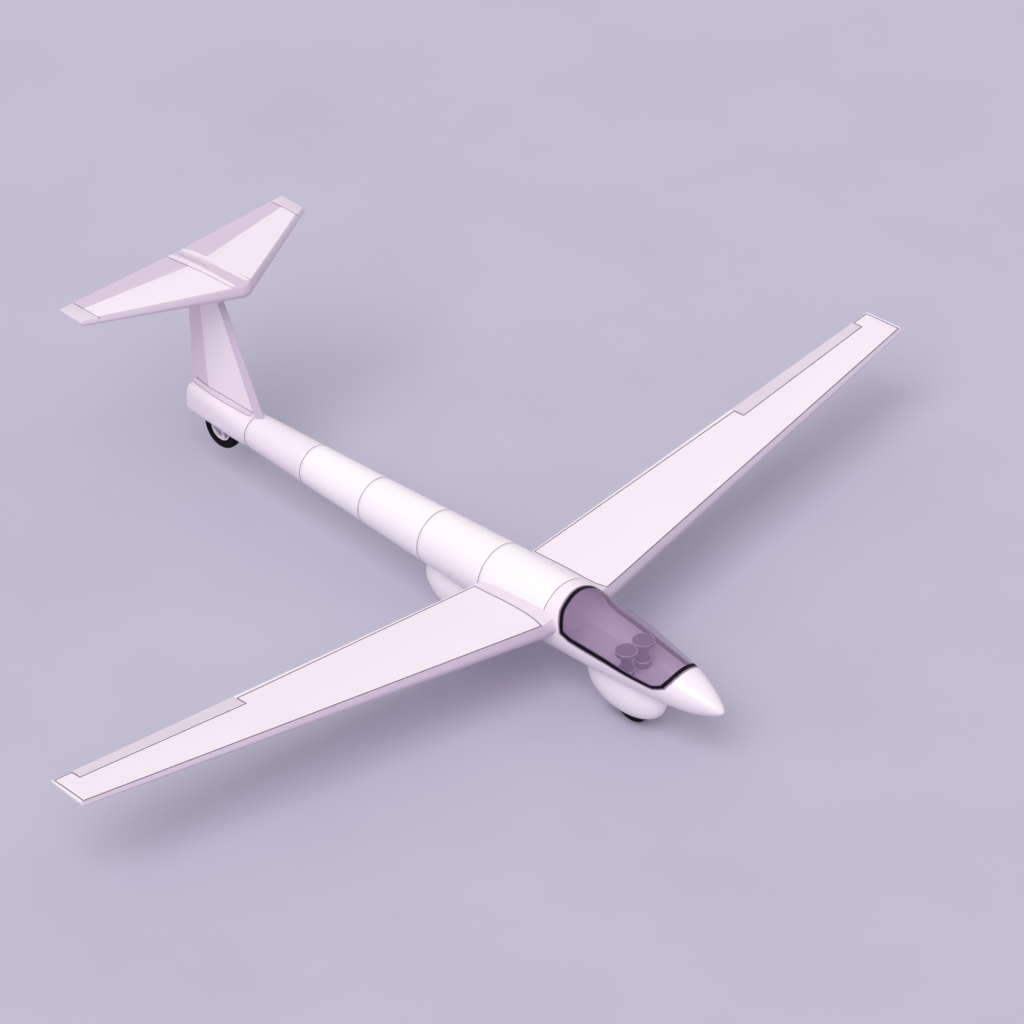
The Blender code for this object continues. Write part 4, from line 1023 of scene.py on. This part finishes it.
def ringAt(points, x):
    # outline of (y, z) points set at one x, or at an x for each point
    return np.column_stack([np.full(len(points), x) if np.isscalar(x) else x, points])


def deckLine(corners, spacing=0.05):
    # points on the wing's upper skin over straight stretches in plan
    plan = alongPath(corners, spacing)
    z = np.array([wingSection(x).upper(y) for x, y in plan])
    return np.column_stack([plan, z])


def rootX(y):
    # x of the joint between the wing and its root fairing
    line = np.array(wing["rootLine"])[::-1]
    return np.interp(y, line[:, 1], line[:, 0])


def byLength(line, shares):
    # points at given shares of a line's length
    line = np.array(line, float)
    length = np.concatenate([[0], np.cumsum(np.linalg.norm(np.diff(line, axis=0), axis=1))])
    return np.column_stack([np.interp(shares * length[-1], length, line[:, k]) for k in (0, 1)])


def lengthShares(line):
    # share of a line's length at each of its points
    steps = np.concatenate([[0], np.cumsum(np.linalg.norm(np.diff(line, axis=0), axis=1))])
    return steps / steps[-1]


def fairingRings(count=14):
    # from the wing's root section to its foot on the hull; the outline changes with the share of
    # the way to the power 1.6, and the foot lies 6 mm inside the skin
    near = wingSection(wing["root"][0]).whole()
    crease = wing["bandColumns"][-1] + 1
    back = int(np.argmax(near[:, 0] + 0.001 * near[:, 1]))
    nose, top, under = near[:crease + 1], near[crease:back + 1], np.vstack([near[back + 1:], near[:1]])
    foot = np.vstack([
        byLength(wing["rootNose"][::-1], lengthShares(nose)),
        byLength(wing["rootTop"][::-1], lengthShares(top))[1:],
        byLength(wing["rootUnder"][::-1], lengthShares(under))[:-1],
    ])
    rows = hullRows(foot[:, 0])
    height = np.where(foot[:, 1] > rows[:, 2], rows[:, 3] - rows[:, 2], rows[:, 2] - rows[:, 4])
    footX = rows[:, 1] * np.sqrt(np.clip(1 - ((foot[:, 1] - rows[:, 2]) / height) ** 2, 0, 1)) - 0.006
    rings = []
    for share in np.linspace(0, 1, count):
        x = rootX(near[:, 0]) * (1 - share) + footX * share
        line = near + (foot - near) * share**1.6
        rings.append(np.column_stack([x, line]))
    return rings


def buildWings():
    x0, x1 = wing["aileronX"]
    gap = wing["runningGap"]
    inboard = [ringAt(wingSection(x).whole(), x) for x in np.linspace(wing["root"][0], x0, 12)]
    inboard[0][:, 0] = rootX(inboard[0][:, 1])
    middle = [ringAt(wingSection(x).fixedPart(aileronHinge(x), gap), x) for x in np.linspace(x0, x1, 10)]
    outboard = []
    tipX = wing["tip"][0]
    for x, shrink in ((x1, 0.0), (6.15, 0.0), (tipX - 0.012, 0.0), (tipX - 0.004, 0.10), (tipX, 0.30)):
        section = wingSection(x)
        points = section.whole()
        centre = section.middle(points[:, 0])
        points[:, 1] = centre + (points[:, 1] - centre) * (1 - shrink)
        share = (points[:, 0] - section.leading) / section.chord
        skew = wing["rake"] * (0.5 - share) * np.clip((x - x1) / (tipX - x1), 0, 1)
        outboard.append(ringAt(points, x + skew))
    panels = []
    for rings in (inboard, middle, outboard):
        # the bevel columns take the leading-edge paint: partly darker paint, partly painted shade
        panels += splitShell(loftShell(rings, "skin"), len(rings[0]), wing["bandColumns"], "edge")
    flapEnds = (x0 + wing["endGap"], x1 - wing["endGap"])
    rings = [ringAt(wingSection(x).flap(aileronHinge(x)), x) for x in np.linspace(*flapEnds, 10)]
    flap = loftShell(rings, "flap")

    hingeOut = (x1 + 0.006, aileronHinge(x1) - 0.017)
    hingeIn = (x0 - 0.006, aileronHinge(x0) - 0.026)
    backOut = (x1 + 0.006, wingSection(x1).trailing - 0.014)
    backIn = (x0 - 0.006, wingSection(x0).trailing - 0.050)
    # panel line: out along the trailing edge, in along the leading edge and round the root
    outline = [
        backOut, wing["deckBack"], wing["deckTip"], *wing["rootLine"][::-1],
        backIn, hingeIn, hingeOut, backOut,
    ]
    lines = []
    for a, b in zip(outline, outline[1:]):
        lines.append(ribbon(deckLine([a, b]), wing["lineWidth"], 0.0016, (0, 0, 1.0)))
    rings = fairingRings()
    # the root fairing's darker lilac is painted shade
    root = splitShell(loftShell(rings, "fairing"), len(rings[0]), wing["bandColumns"], "edge")
    for side, label in ((1, "port"), (-1, "starboard")):
        shells = [mirrorShell(shell, side) for shell in panels]
        makePiece(f"wing_skin_{label}", shells, "airframe", (f"wing_{label}",), sharp=30)
        aileron = f"aileron_{label}"
        shells = [mirrorShell(flap, side)]
        makePiece(f"aileron_skin_{label}", shells, aileron, (aileron,), sharp=30)
        shells = [mirrorShell(shell, side) for shell in lines]
        makePiece(f"wing_panel_lines_{label}", shells, "airframe")
        shells = [mirrorShell(shell, side) for shell in root]
        makePiece(f"root_fairing_{label}", shells, "airframe", (f"wing_root_{label}",), sharp=30)


buildWings()
print("stage: wings")

fin = {
    # z, leading y, hinge y, trailing y, half thickness
    "base": (1.190, 2.885, 3.750, 4.045, 0.056),
    "top": (2.655, 3.588, 3.905, 4.078, 0.038),
    "rudderTop": 2.645,
    "bevel": (0.078, 0.050),
    # plinth: y, half width at the fin's foot, spread towards the tail block
    "plinthSides": (
        (3.020, 0.0575, 0.004), (3.100, 0.0610, 0.012), (3.250, 0.0620, 0.018), (3.450, 0.0620, 0.020),
        (3.620, 0.0615, 0.019), (3.800, 0.0560, 0.010), (3.930, 0.0460, 0.004), (3.985, 0.0400, 0.002),
    ),
    # height, share of the spread, inset of the ends
    "plinthRows": (
        (1.050, 1.0, 0.0), (1.132, 0.95, 0.0), (1.150, 0.45, 0.0), (1.184, 0.05, 0.0), (1.1885, 0.0, 0.002),
    ),
}
tailplane = {
    # x, leading y, hinge y, trailing y, upper z at the front and back, thickness
    "root": (0.130, 3.105, 3.930, 4.262, 2.815, 2.735, 0.140),
    "tip": (1.700, 3.935, 4.160, 4.312, 2.722, 2.722, 0.055),
    "capX": 1.510,
    "bevel": 0.045,
    "noseX": 0.048,
    "strip": (0.070, 0.126),
    "ceiling": 2.8155,
}


def finRow(z):
    # leading, hinge and trailing y, and half thickness of the fin at z
    return blendRow(fin["base"], fin["top"], z)[1:]


def finBevel(z):
    # width of the fin's bevel, straight from its foot to its top
    share = (z - fin["base"][0]) / (fin["top"][0] - fin["base"][0])
    return fin["bevel"][0] + share * (fin["bevel"][1] - fin["bevel"][0])


def bevelNose(leading, half, bevel):
    # half outline of a bevelled leading edge, from the middle out to the flat side
    corners = [
        (0.0, leading), (0.30 * half, leading + 0.10 * bevel),
        (half, leading + bevel), (half, leading + bevel + 0.10),
    ]
    return roundedPath(corners, [0, 0.012, 0.005, 0], 4)


def finSide(z):
    # half outline of the fin in plan: leading edge, bevel, flat side back to the hinge
    leading, hinge, trailing, half = finRow(z)
    nose = bevelNose(leading, half, finBevel(z))
    radius = 0.84 * half + wing["runningGap"]
    rear = hinge - 0.42 * radius - 0.004
    y = np.linspace(nose[-1, 1], rear, 6)[1:]
    flat = np.column_stack([np.linspace(half, 0.90 * half, 6)[1:], y])
    arc = np.radians(np.linspace(62, 0, 6))
    cove = np.column_stack([radius * np.sin(arc), hinge - radius * np.cos(arc)])
    return np.vstack([nose, flat, cove])


def bothSides(side, closeBack):
    # whole outline from its half; the first point, and at a closed back the last, lie on the middle
    other = (side * np.array([-1, 1]))[::-1]
    return np.vstack([side, other[1:-1] if closeBack else other[:-1]])


def bevelColumns(count):
    # columns of the bevel on both sides of an outline made by bothSides
    picked = set(range(8))
    return picked | {count - 1 - k for k in range(8)}


def buildFin():
    rings = []
    for z in np.linspace(fin["base"][0] + 0.001, fin["top"][0] + 0.05, 14):
        outline = bothSides(finSide(z), True)
        rings.append(np.column_stack([outline, np.full(len(outline), z)]))
    count = len(rings[0])
    shells = splitShell(loftShell(rings, "fin"), count, bevelColumns(count), "edge")
    makePiece("fin_skin", shells, "airframe", ("fin",), sharp=24)

    rings = []
    for z in np.linspace(fin["base"][0] + wing["runningGap"], fin["rudderTop"], 14):
        leading, hinge, trailing, half = finRow(z)
        radius = 0.80 * half
        arc = np.radians(np.linspace(0, 90, 7))
        nose = np.column_stack([radius * np.sin(arc), hinge - radius * np.cos(arc)])
        back = np.array([(radius * 0.99, hinge + 0.012), (0.006, trailing - 0.004), (0.003, trailing)])
        outline = bothSides(np.vstack([nose, back]), False)
        rings.append(np.column_stack([outline, np.full(len(outline), z)]))
    makePiece("rudder_skin", [loftShell(rings, "rudder")], "rudder", ("rudder",), sharp=24)

    # plinth: its nose carries the fin's bevel on down to the boom, its sides flare to the tail block
    base = fin["base"]
    sides = np.array(fin["plinthSides"])
    slope = (fin["top"][1] - base[1]) / (fin["top"][0] - base[0])
    rings = []
    for z, share, inset in fin["plinthRows"]:
        nose = bevelNose(base[1] + slope * (z - base[0]) - 0.001, base[4] + 0.001, fin["bevel"][0])
        half = sides[:, 1] + share * sides[:, 2] - inset
        back = np.array([(half[-1] - 0.010, sides[-1, 0] + 0.010 - inset)])
        outline = bothSides(np.vstack([nose, np.column_stack([half, sides[:, 0]]), back]), False)
        rings.append(np.column_stack([outline, np.full(len(outline), z)]))
    count = len(rings[0])
    # the plinth's darker lilac is painted shade
    shells = splitShell(loftShell(rings, "fairing"), count, bevelColumns(count), "edge")
    makePiece("fin_plinth_skin", shells, "airframe", ("fin_fairing",), sharp=30)

    # seam round the foot of fin and rudder, and the plinth's own foot on the tail block
    side = finSide(base[0])
    side = side[(side[:, 1] > base[1] + fin["bevel"][0]) & (side[:, 0] > 0.89 * base[4])]
    rear = [(0.90 * base[4], base[2] - 0.005), (0.81 * base[4], base[2] + 0.015), (0.020, 3.960)]
    side = np.vstack([side, rear])
    foot = np.full(len(side), base[0] - 0.0008)
    shells = []
    for sign in (-1, 1):
        strip = [np.column_stack([sign * (side[:, 0] + width), side[:, 1], foot]) for width in (0.0, 0.006)]
        shells.append((np.stack(strip, 1).reshape(-1, 3), quads(len(side), 2, flip=sign < 0), "line"))
        ys = np.linspace(3.02, 3.985, 50)
        rows = smoothTable(tail["stations"], ys)
        half = np.interp(ys, sides[:, 0], sides[:, 1] + sides[:, 2])
        strip = []
        for x in (half, half + 0.006):
            level = (1 - (x / rows[:, 1]) ** rows[:, 5]) ** (1 / rows[:, 5])
            z = rows[:, 2] + (rows[:, 3] - rows[:, 2]) * level
            strip.append(np.column_stack([sign * x, ys, z + 0.0010]))
        shells.append((np.stack(strip, 1).reshape(-1, 3), quads(len(ys), 2, flip=sign < 0), "softLine"))
    zs = np.linspace(base[0] + 0.005, fin["rudderTop"], 20)
    leading, hinge, trailing, half = finRow(zs)
    crease = np.column_stack([half, leading + finBevel(zs) + 0.006, zs])
    seam = ribbon(crease, 0.004, 0.0010, (1.0, 0, 0), "softLine")
    shells += [seam, mirrorShell(seam, -1)]
    makePiece("fin_seam_lines", shells, "airframe")


def tailSection(x):
    # section and hinge y at x; inboard of the root the same straight lines run on
    leading, hinge, trailing, front, back, thickness = blendRow(tailplane["root"], tailplane["tip"], x)[1:]
    return Section(leading, trailing, front, back, thickness, tailplane["bevel"]), hinge


def tailLine(corners, spacing=0.04):
    # points on the tailplane's upper skin over straight stretches in plan
    plan = alongPath(corners, spacing)
    z = [tailSection(max(abs(x), tailplane["root"][0]))[0].upper(y) for x, y in plan]
    return np.column_stack([plan, z])


def buildTailplane():
    rootX, capX = tailplane["root"][0], tailplane["capX"]
    gap = wing["runningGap"]
    end = wing["endGap"]
    rings = []
    for x in np.linspace(rootX, capX, 10):
        section, hinge = tailSection(x)
        rings.append(ringAt(section.fixedPart(hinge, gap), x))
    fixed = splitShell(loftShell(rings, "skin"), len(rings[0]), wing["bandColumns"], "edge")
    rings = []
    for x in np.linspace(rootX + end, capX - end, 10):
        section, hinge = tailSection(x)
        rings.append(ringAt(section.flap(hinge), x))
    flap = loftShell(rings, "control")
    rings = []
    tipX = tailplane["tip"][0]
    capRows = (
        (capX + 0.001, 0.0), (1.60, 0.0), (tipX - 0.030, 0.02),
        (tipX - 0.014, 0.12), (tipX - 0.005, 0.30), (tipX, 0.60),
    )
    for x, shrink in capRows:
        section = tailSection(x)[0]
        points = section.whole()
        centre = section.middle(points[:, 0])
        points[:, 1] = centre + (points[:, 1] - centre) * (1 - shrink)
        rings.append(ringAt(points, x))
    cap = splitShell(loftShell(rings, "flap"), len(rings[0]), range(18), "edge")
    for side, label in ((1, "port"), (-1, "starboard")):
        shells = [mirrorShell(shell, side) for shell in fixed]
        makePiece(f"tailplane_skin_{label}", shells, "airframe", (f"tailplane_{label}",), sharp=30)
        elevator = f"elevator_{label}"
        shells = [mirrorShell(flap, side)]
        makePiece(f"elevator_skin_{label}", shells, elevator, (elevator,), sharp=30)
        shells = [mirrorShell(shell, side) for shell in cap]
        stands = (f"tailplane_cap_{label}",)
        makePiece(f"tailplane_tip_{label}", shells, "airframe", stands, sharp=30)

    # centre block: the leading edges sweep on to a narrow nose, two raised strips over a groove
    rings = []
    noseX = tailplane["noseX"]
    for x in (-rootX, -0.09, -noseX, -0.3 * noseX, 0.3 * noseX, noseX, 0.09, rootX):
        section = tailSection(max(abs(x), 0.8 * noseX))[0]
        points = section.whole()
        points[:, 1] = np.minimum(points[:, 1], tailplane["ceiling"])
        rings.append(ringAt(points, x))
    shells = splitShell(loftShell(rings, "control"), len(rings[0]), wing["bandColumns"], "edge")
    # a strip's height falls with the fourth power of the share of the chord behind its leading
    # edge, and over its first 20 mm it rises from 0.4 of that height
    inner, outer = tailplane["strip"]
    across = np.array([inner, inner + 0.005, outer - 0.005, outer])
    section = tailSection(rootX)[0]
    ys = np.linspace(section.leading + 0.055, section.trailing - 0.004, 36)
    s = (section.trailing - ys) / section.chord
    top = np.minimum(section.back + 0.077 * (1 - (1 - s) ** 4) + 0.001, tailplane["ceiling"])
    low = section.upper(ys) - 0.004
    top = low + (top - low) * (0.4 + 0.6 * np.clip((ys - ys[0]) / 0.020, 0, 1))
    heights = np.column_stack([low, top, top, low])
    for side in (-1, 1):
        x, y = np.broadcast_arrays(side * across[None, :], ys[:, None])
        faces = quads(len(ys), 4, flip=side < 0)
        faces += [[0, 1, 2, 3], [len(ys) * 4 - 4 + k for k in (3, 2, 1, 0)]]
        shells.append((np.stack([x, y, heights], -1).reshape(-1, 3), faces, "skin"))
    makePiece("tail_centre_skin", shells, "airframe", ("tailplane_centre",), sharp=24)
    # seams: beside the strips and along the leading edge soft, at the caps dark
    bevel = tailplane["bevel"] + 0.006
    crease = [(x, tailSection(x)[0].leading + bevel) for x in (rootX + 0.006, capX)]
    lines = [ribbon(tailLine([(0.0, 3.20), (0.0, 4.25)]), 0.006, 0.0012, (0, 0, 1.0), "softLine")]
    for corners, width, skin in (
        ([(0.128, 3.150), (0.128, 4.258)], 0.006, "softLine"),
        (crease, 0.004, "softLine"),
        ([(capX + 0.002, 3.850), (capX + 0.002, 4.295)], 0.006, "line"),
    ):
        seam = ribbon(tailLine(corners), width, 0.0012, (0, 0, 1.0), skin)
        lines += [seam, mirrorShell(seam, -1)]
    makePiece("tailplane_panel_lines", lines, "airframe")


buildFin()
buildTailplane()
print("stage: tail")

stools = {
    "places": ((0.129, "port"), (-0.129, "starboard")),
    "y": -2.977,
    "floor": 0.6553,
    # (radius, height) from the seat's middle down to the foot's: seat, bead with painted highlight, drum,
    # bead with painted highlight, foot
    "profile": (
        ("stool", ((0.0, 0.350), (0.060, 0.351), (0.104, 0.3495), (0.114, 0.346), (0.1195, 0.341))),
        ("beadHighlight", ((0.1195, 0.341), (0.1235, 0.3425), (0.1250, 0.339), (0.1235, 0.3355))),
        ("stool", (
            (0.1235, 0.3355), (0.1240, 0.320), (0.1240, 0.298), (0.1215, 0.288), (0.112, 0.282),
            (0.074, 0.270), (0.0635, 0.258), (0.0605, 0.240), (0.0600, 0.190), (0.0605, 0.140),
            (0.0635, 0.122), (0.074, 0.108), (0.090, 0.097),
        )),
        ("beadHighlight", ((0.090, 0.097), (0.0945, 0.097), (0.0965, 0.093), (0.0960, 0.089))),
        ("stool", (
            (0.0960, 0.089), (0.0965, 0.070), (0.0960, 0.046), (0.088, 0.020), (0.080, 0.0), (0.0, 0.0),
        )),
    ),
}


def buildStools():
    for x, label in stools["places"]:
        centre = (x, stools["y"], stools["floor"])
        shells = [lathe(part, centre, "Z", skin, 72, closed=False) for skin, part in stools["profile"]]
        makePiece(f"stool_{label}_vinyl", shells, "airframe", (f"stool_{label}",), sharp=50)


def dressFrameNodes():
    # paint on the solids that no piece stands for
    for name, skin in (
        ("cockpit_floor", "floor"), ("front_axle", "steel"), ("rear_axle", "steel"), ("tail_axle", "steel"),
        ("tail_bracket_port", "steel"), ("tail_bracket_starboard", "steel"),
    ):
        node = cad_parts[name]
        node.data.materials.clear()
        node.data.materials.append(paint[skin])


buildStools()
dressFrameNodes()
print("stage: cockpit")

studio = {
    "floorHalf": 60.0,
    "sky": ("#D9D0DC", "#FFFFFF"),
    "skyStrength": 0.73,
    "sunEnergy": 1.58,
    "sunAngle": math.radians(40),
    "sunFrom": (-5.6, -2.4, 8.0),
    "sensor": 36.0,
    "lens": 205.613,
    "eye": (-36.755, -37.8665, 38.232),
    "look": (54.98455, 0.0, -45.0),
}


def buildStage():
    # floor, sky, key light and camera
    mesh = bpy.data.meshes.new("studio_floor")
    size = studio["floorHalf"]
    corners = [(-size, -size, 0), (size, -size, 0), (size, size, 0), (-size, size, 0)]
    mesh.from_pydata(corners, [], [(0, 1, 2, 3)])
    material, tree, shader, place = newMaterial("studio_floor_paint", Roughness=0.85)
    driftOfTone(tree, shader, place, ("#B9B5C8", "#BFBBCD"), 0.4)
    mesh.materials.append(material)
    floor = bpy.data.objects.new("studio_floor", mesh)
    bpy.context.scene.collection.objects.link(floor)

    # pale sky, whiter overhead than at the horizon, and one broad soft lamp above the nose
    world = bpy.data.worlds.new("studio_world")
    bpy.context.scene.world = world
    world.use_nodes = True
    tree = world.node_tree
    place = addNode(tree, "ShaderNodeTexCoord").outputs["Generated"]
    axes = addNode(tree, "ShaderNodeSeparateXYZ", [(place, "Vector")])
    ramp = addNode(tree, "ShaderNodeValToRGB", [(axes.outputs["Z"], "Fac")])
    ramp.color_ramp.elements[0].position = 0.05
    ramp.color_ramp.elements[0].color = linear(studio["sky"][0])
    ramp.color_ramp.elements[1].position = 0.85
    ramp.color_ramp.elements[1].color = linear(studio["sky"][1])
    sky = tree.nodes["Background"]
    tree.links.new(ramp.outputs["Color"], sky.inputs["Color"])
    sky.inputs["Strength"].default_value = studio["skyStrength"]

    light = bpy.data.lights.new("key_light", "SUN")
    light.energy = studio["sunEnergy"]
    light.angle = studio["sunAngle"]
    light.color = linear("#FFFCFE")[:3]
    lamp = bpy.data.objects.new("key_light", light)
    lamp.location = (-2.0, -3.0, 14.0)
    ahead = Vector((0, 0, 0)) - Vector(studio["sunFrom"])
    lamp.rotation_euler = ahead.to_track_quat("-Z", "Y").to_euler()
    bpy.context.scene.collection.objects.link(lamp)

    bpy.context.scene.view_settings.view_transform = "Standard"

    camera = bpy.data.cameras.new("camera")
    camera.sensor_width = studio["sensor"]
    camera.lens = studio["lens"]
    camera.clip_end = 500.0
    eye = bpy.data.objects.new("camera", camera)
    eye.location = studio["eye"]
    eye.rotation_euler = [math.radians(turn) for turn in studio["look"]]
    bpy.context.scene.collection.objects.link(eye)
    bpy.context.scene.camera = eye


buildStage()
print("stage: light and camera")
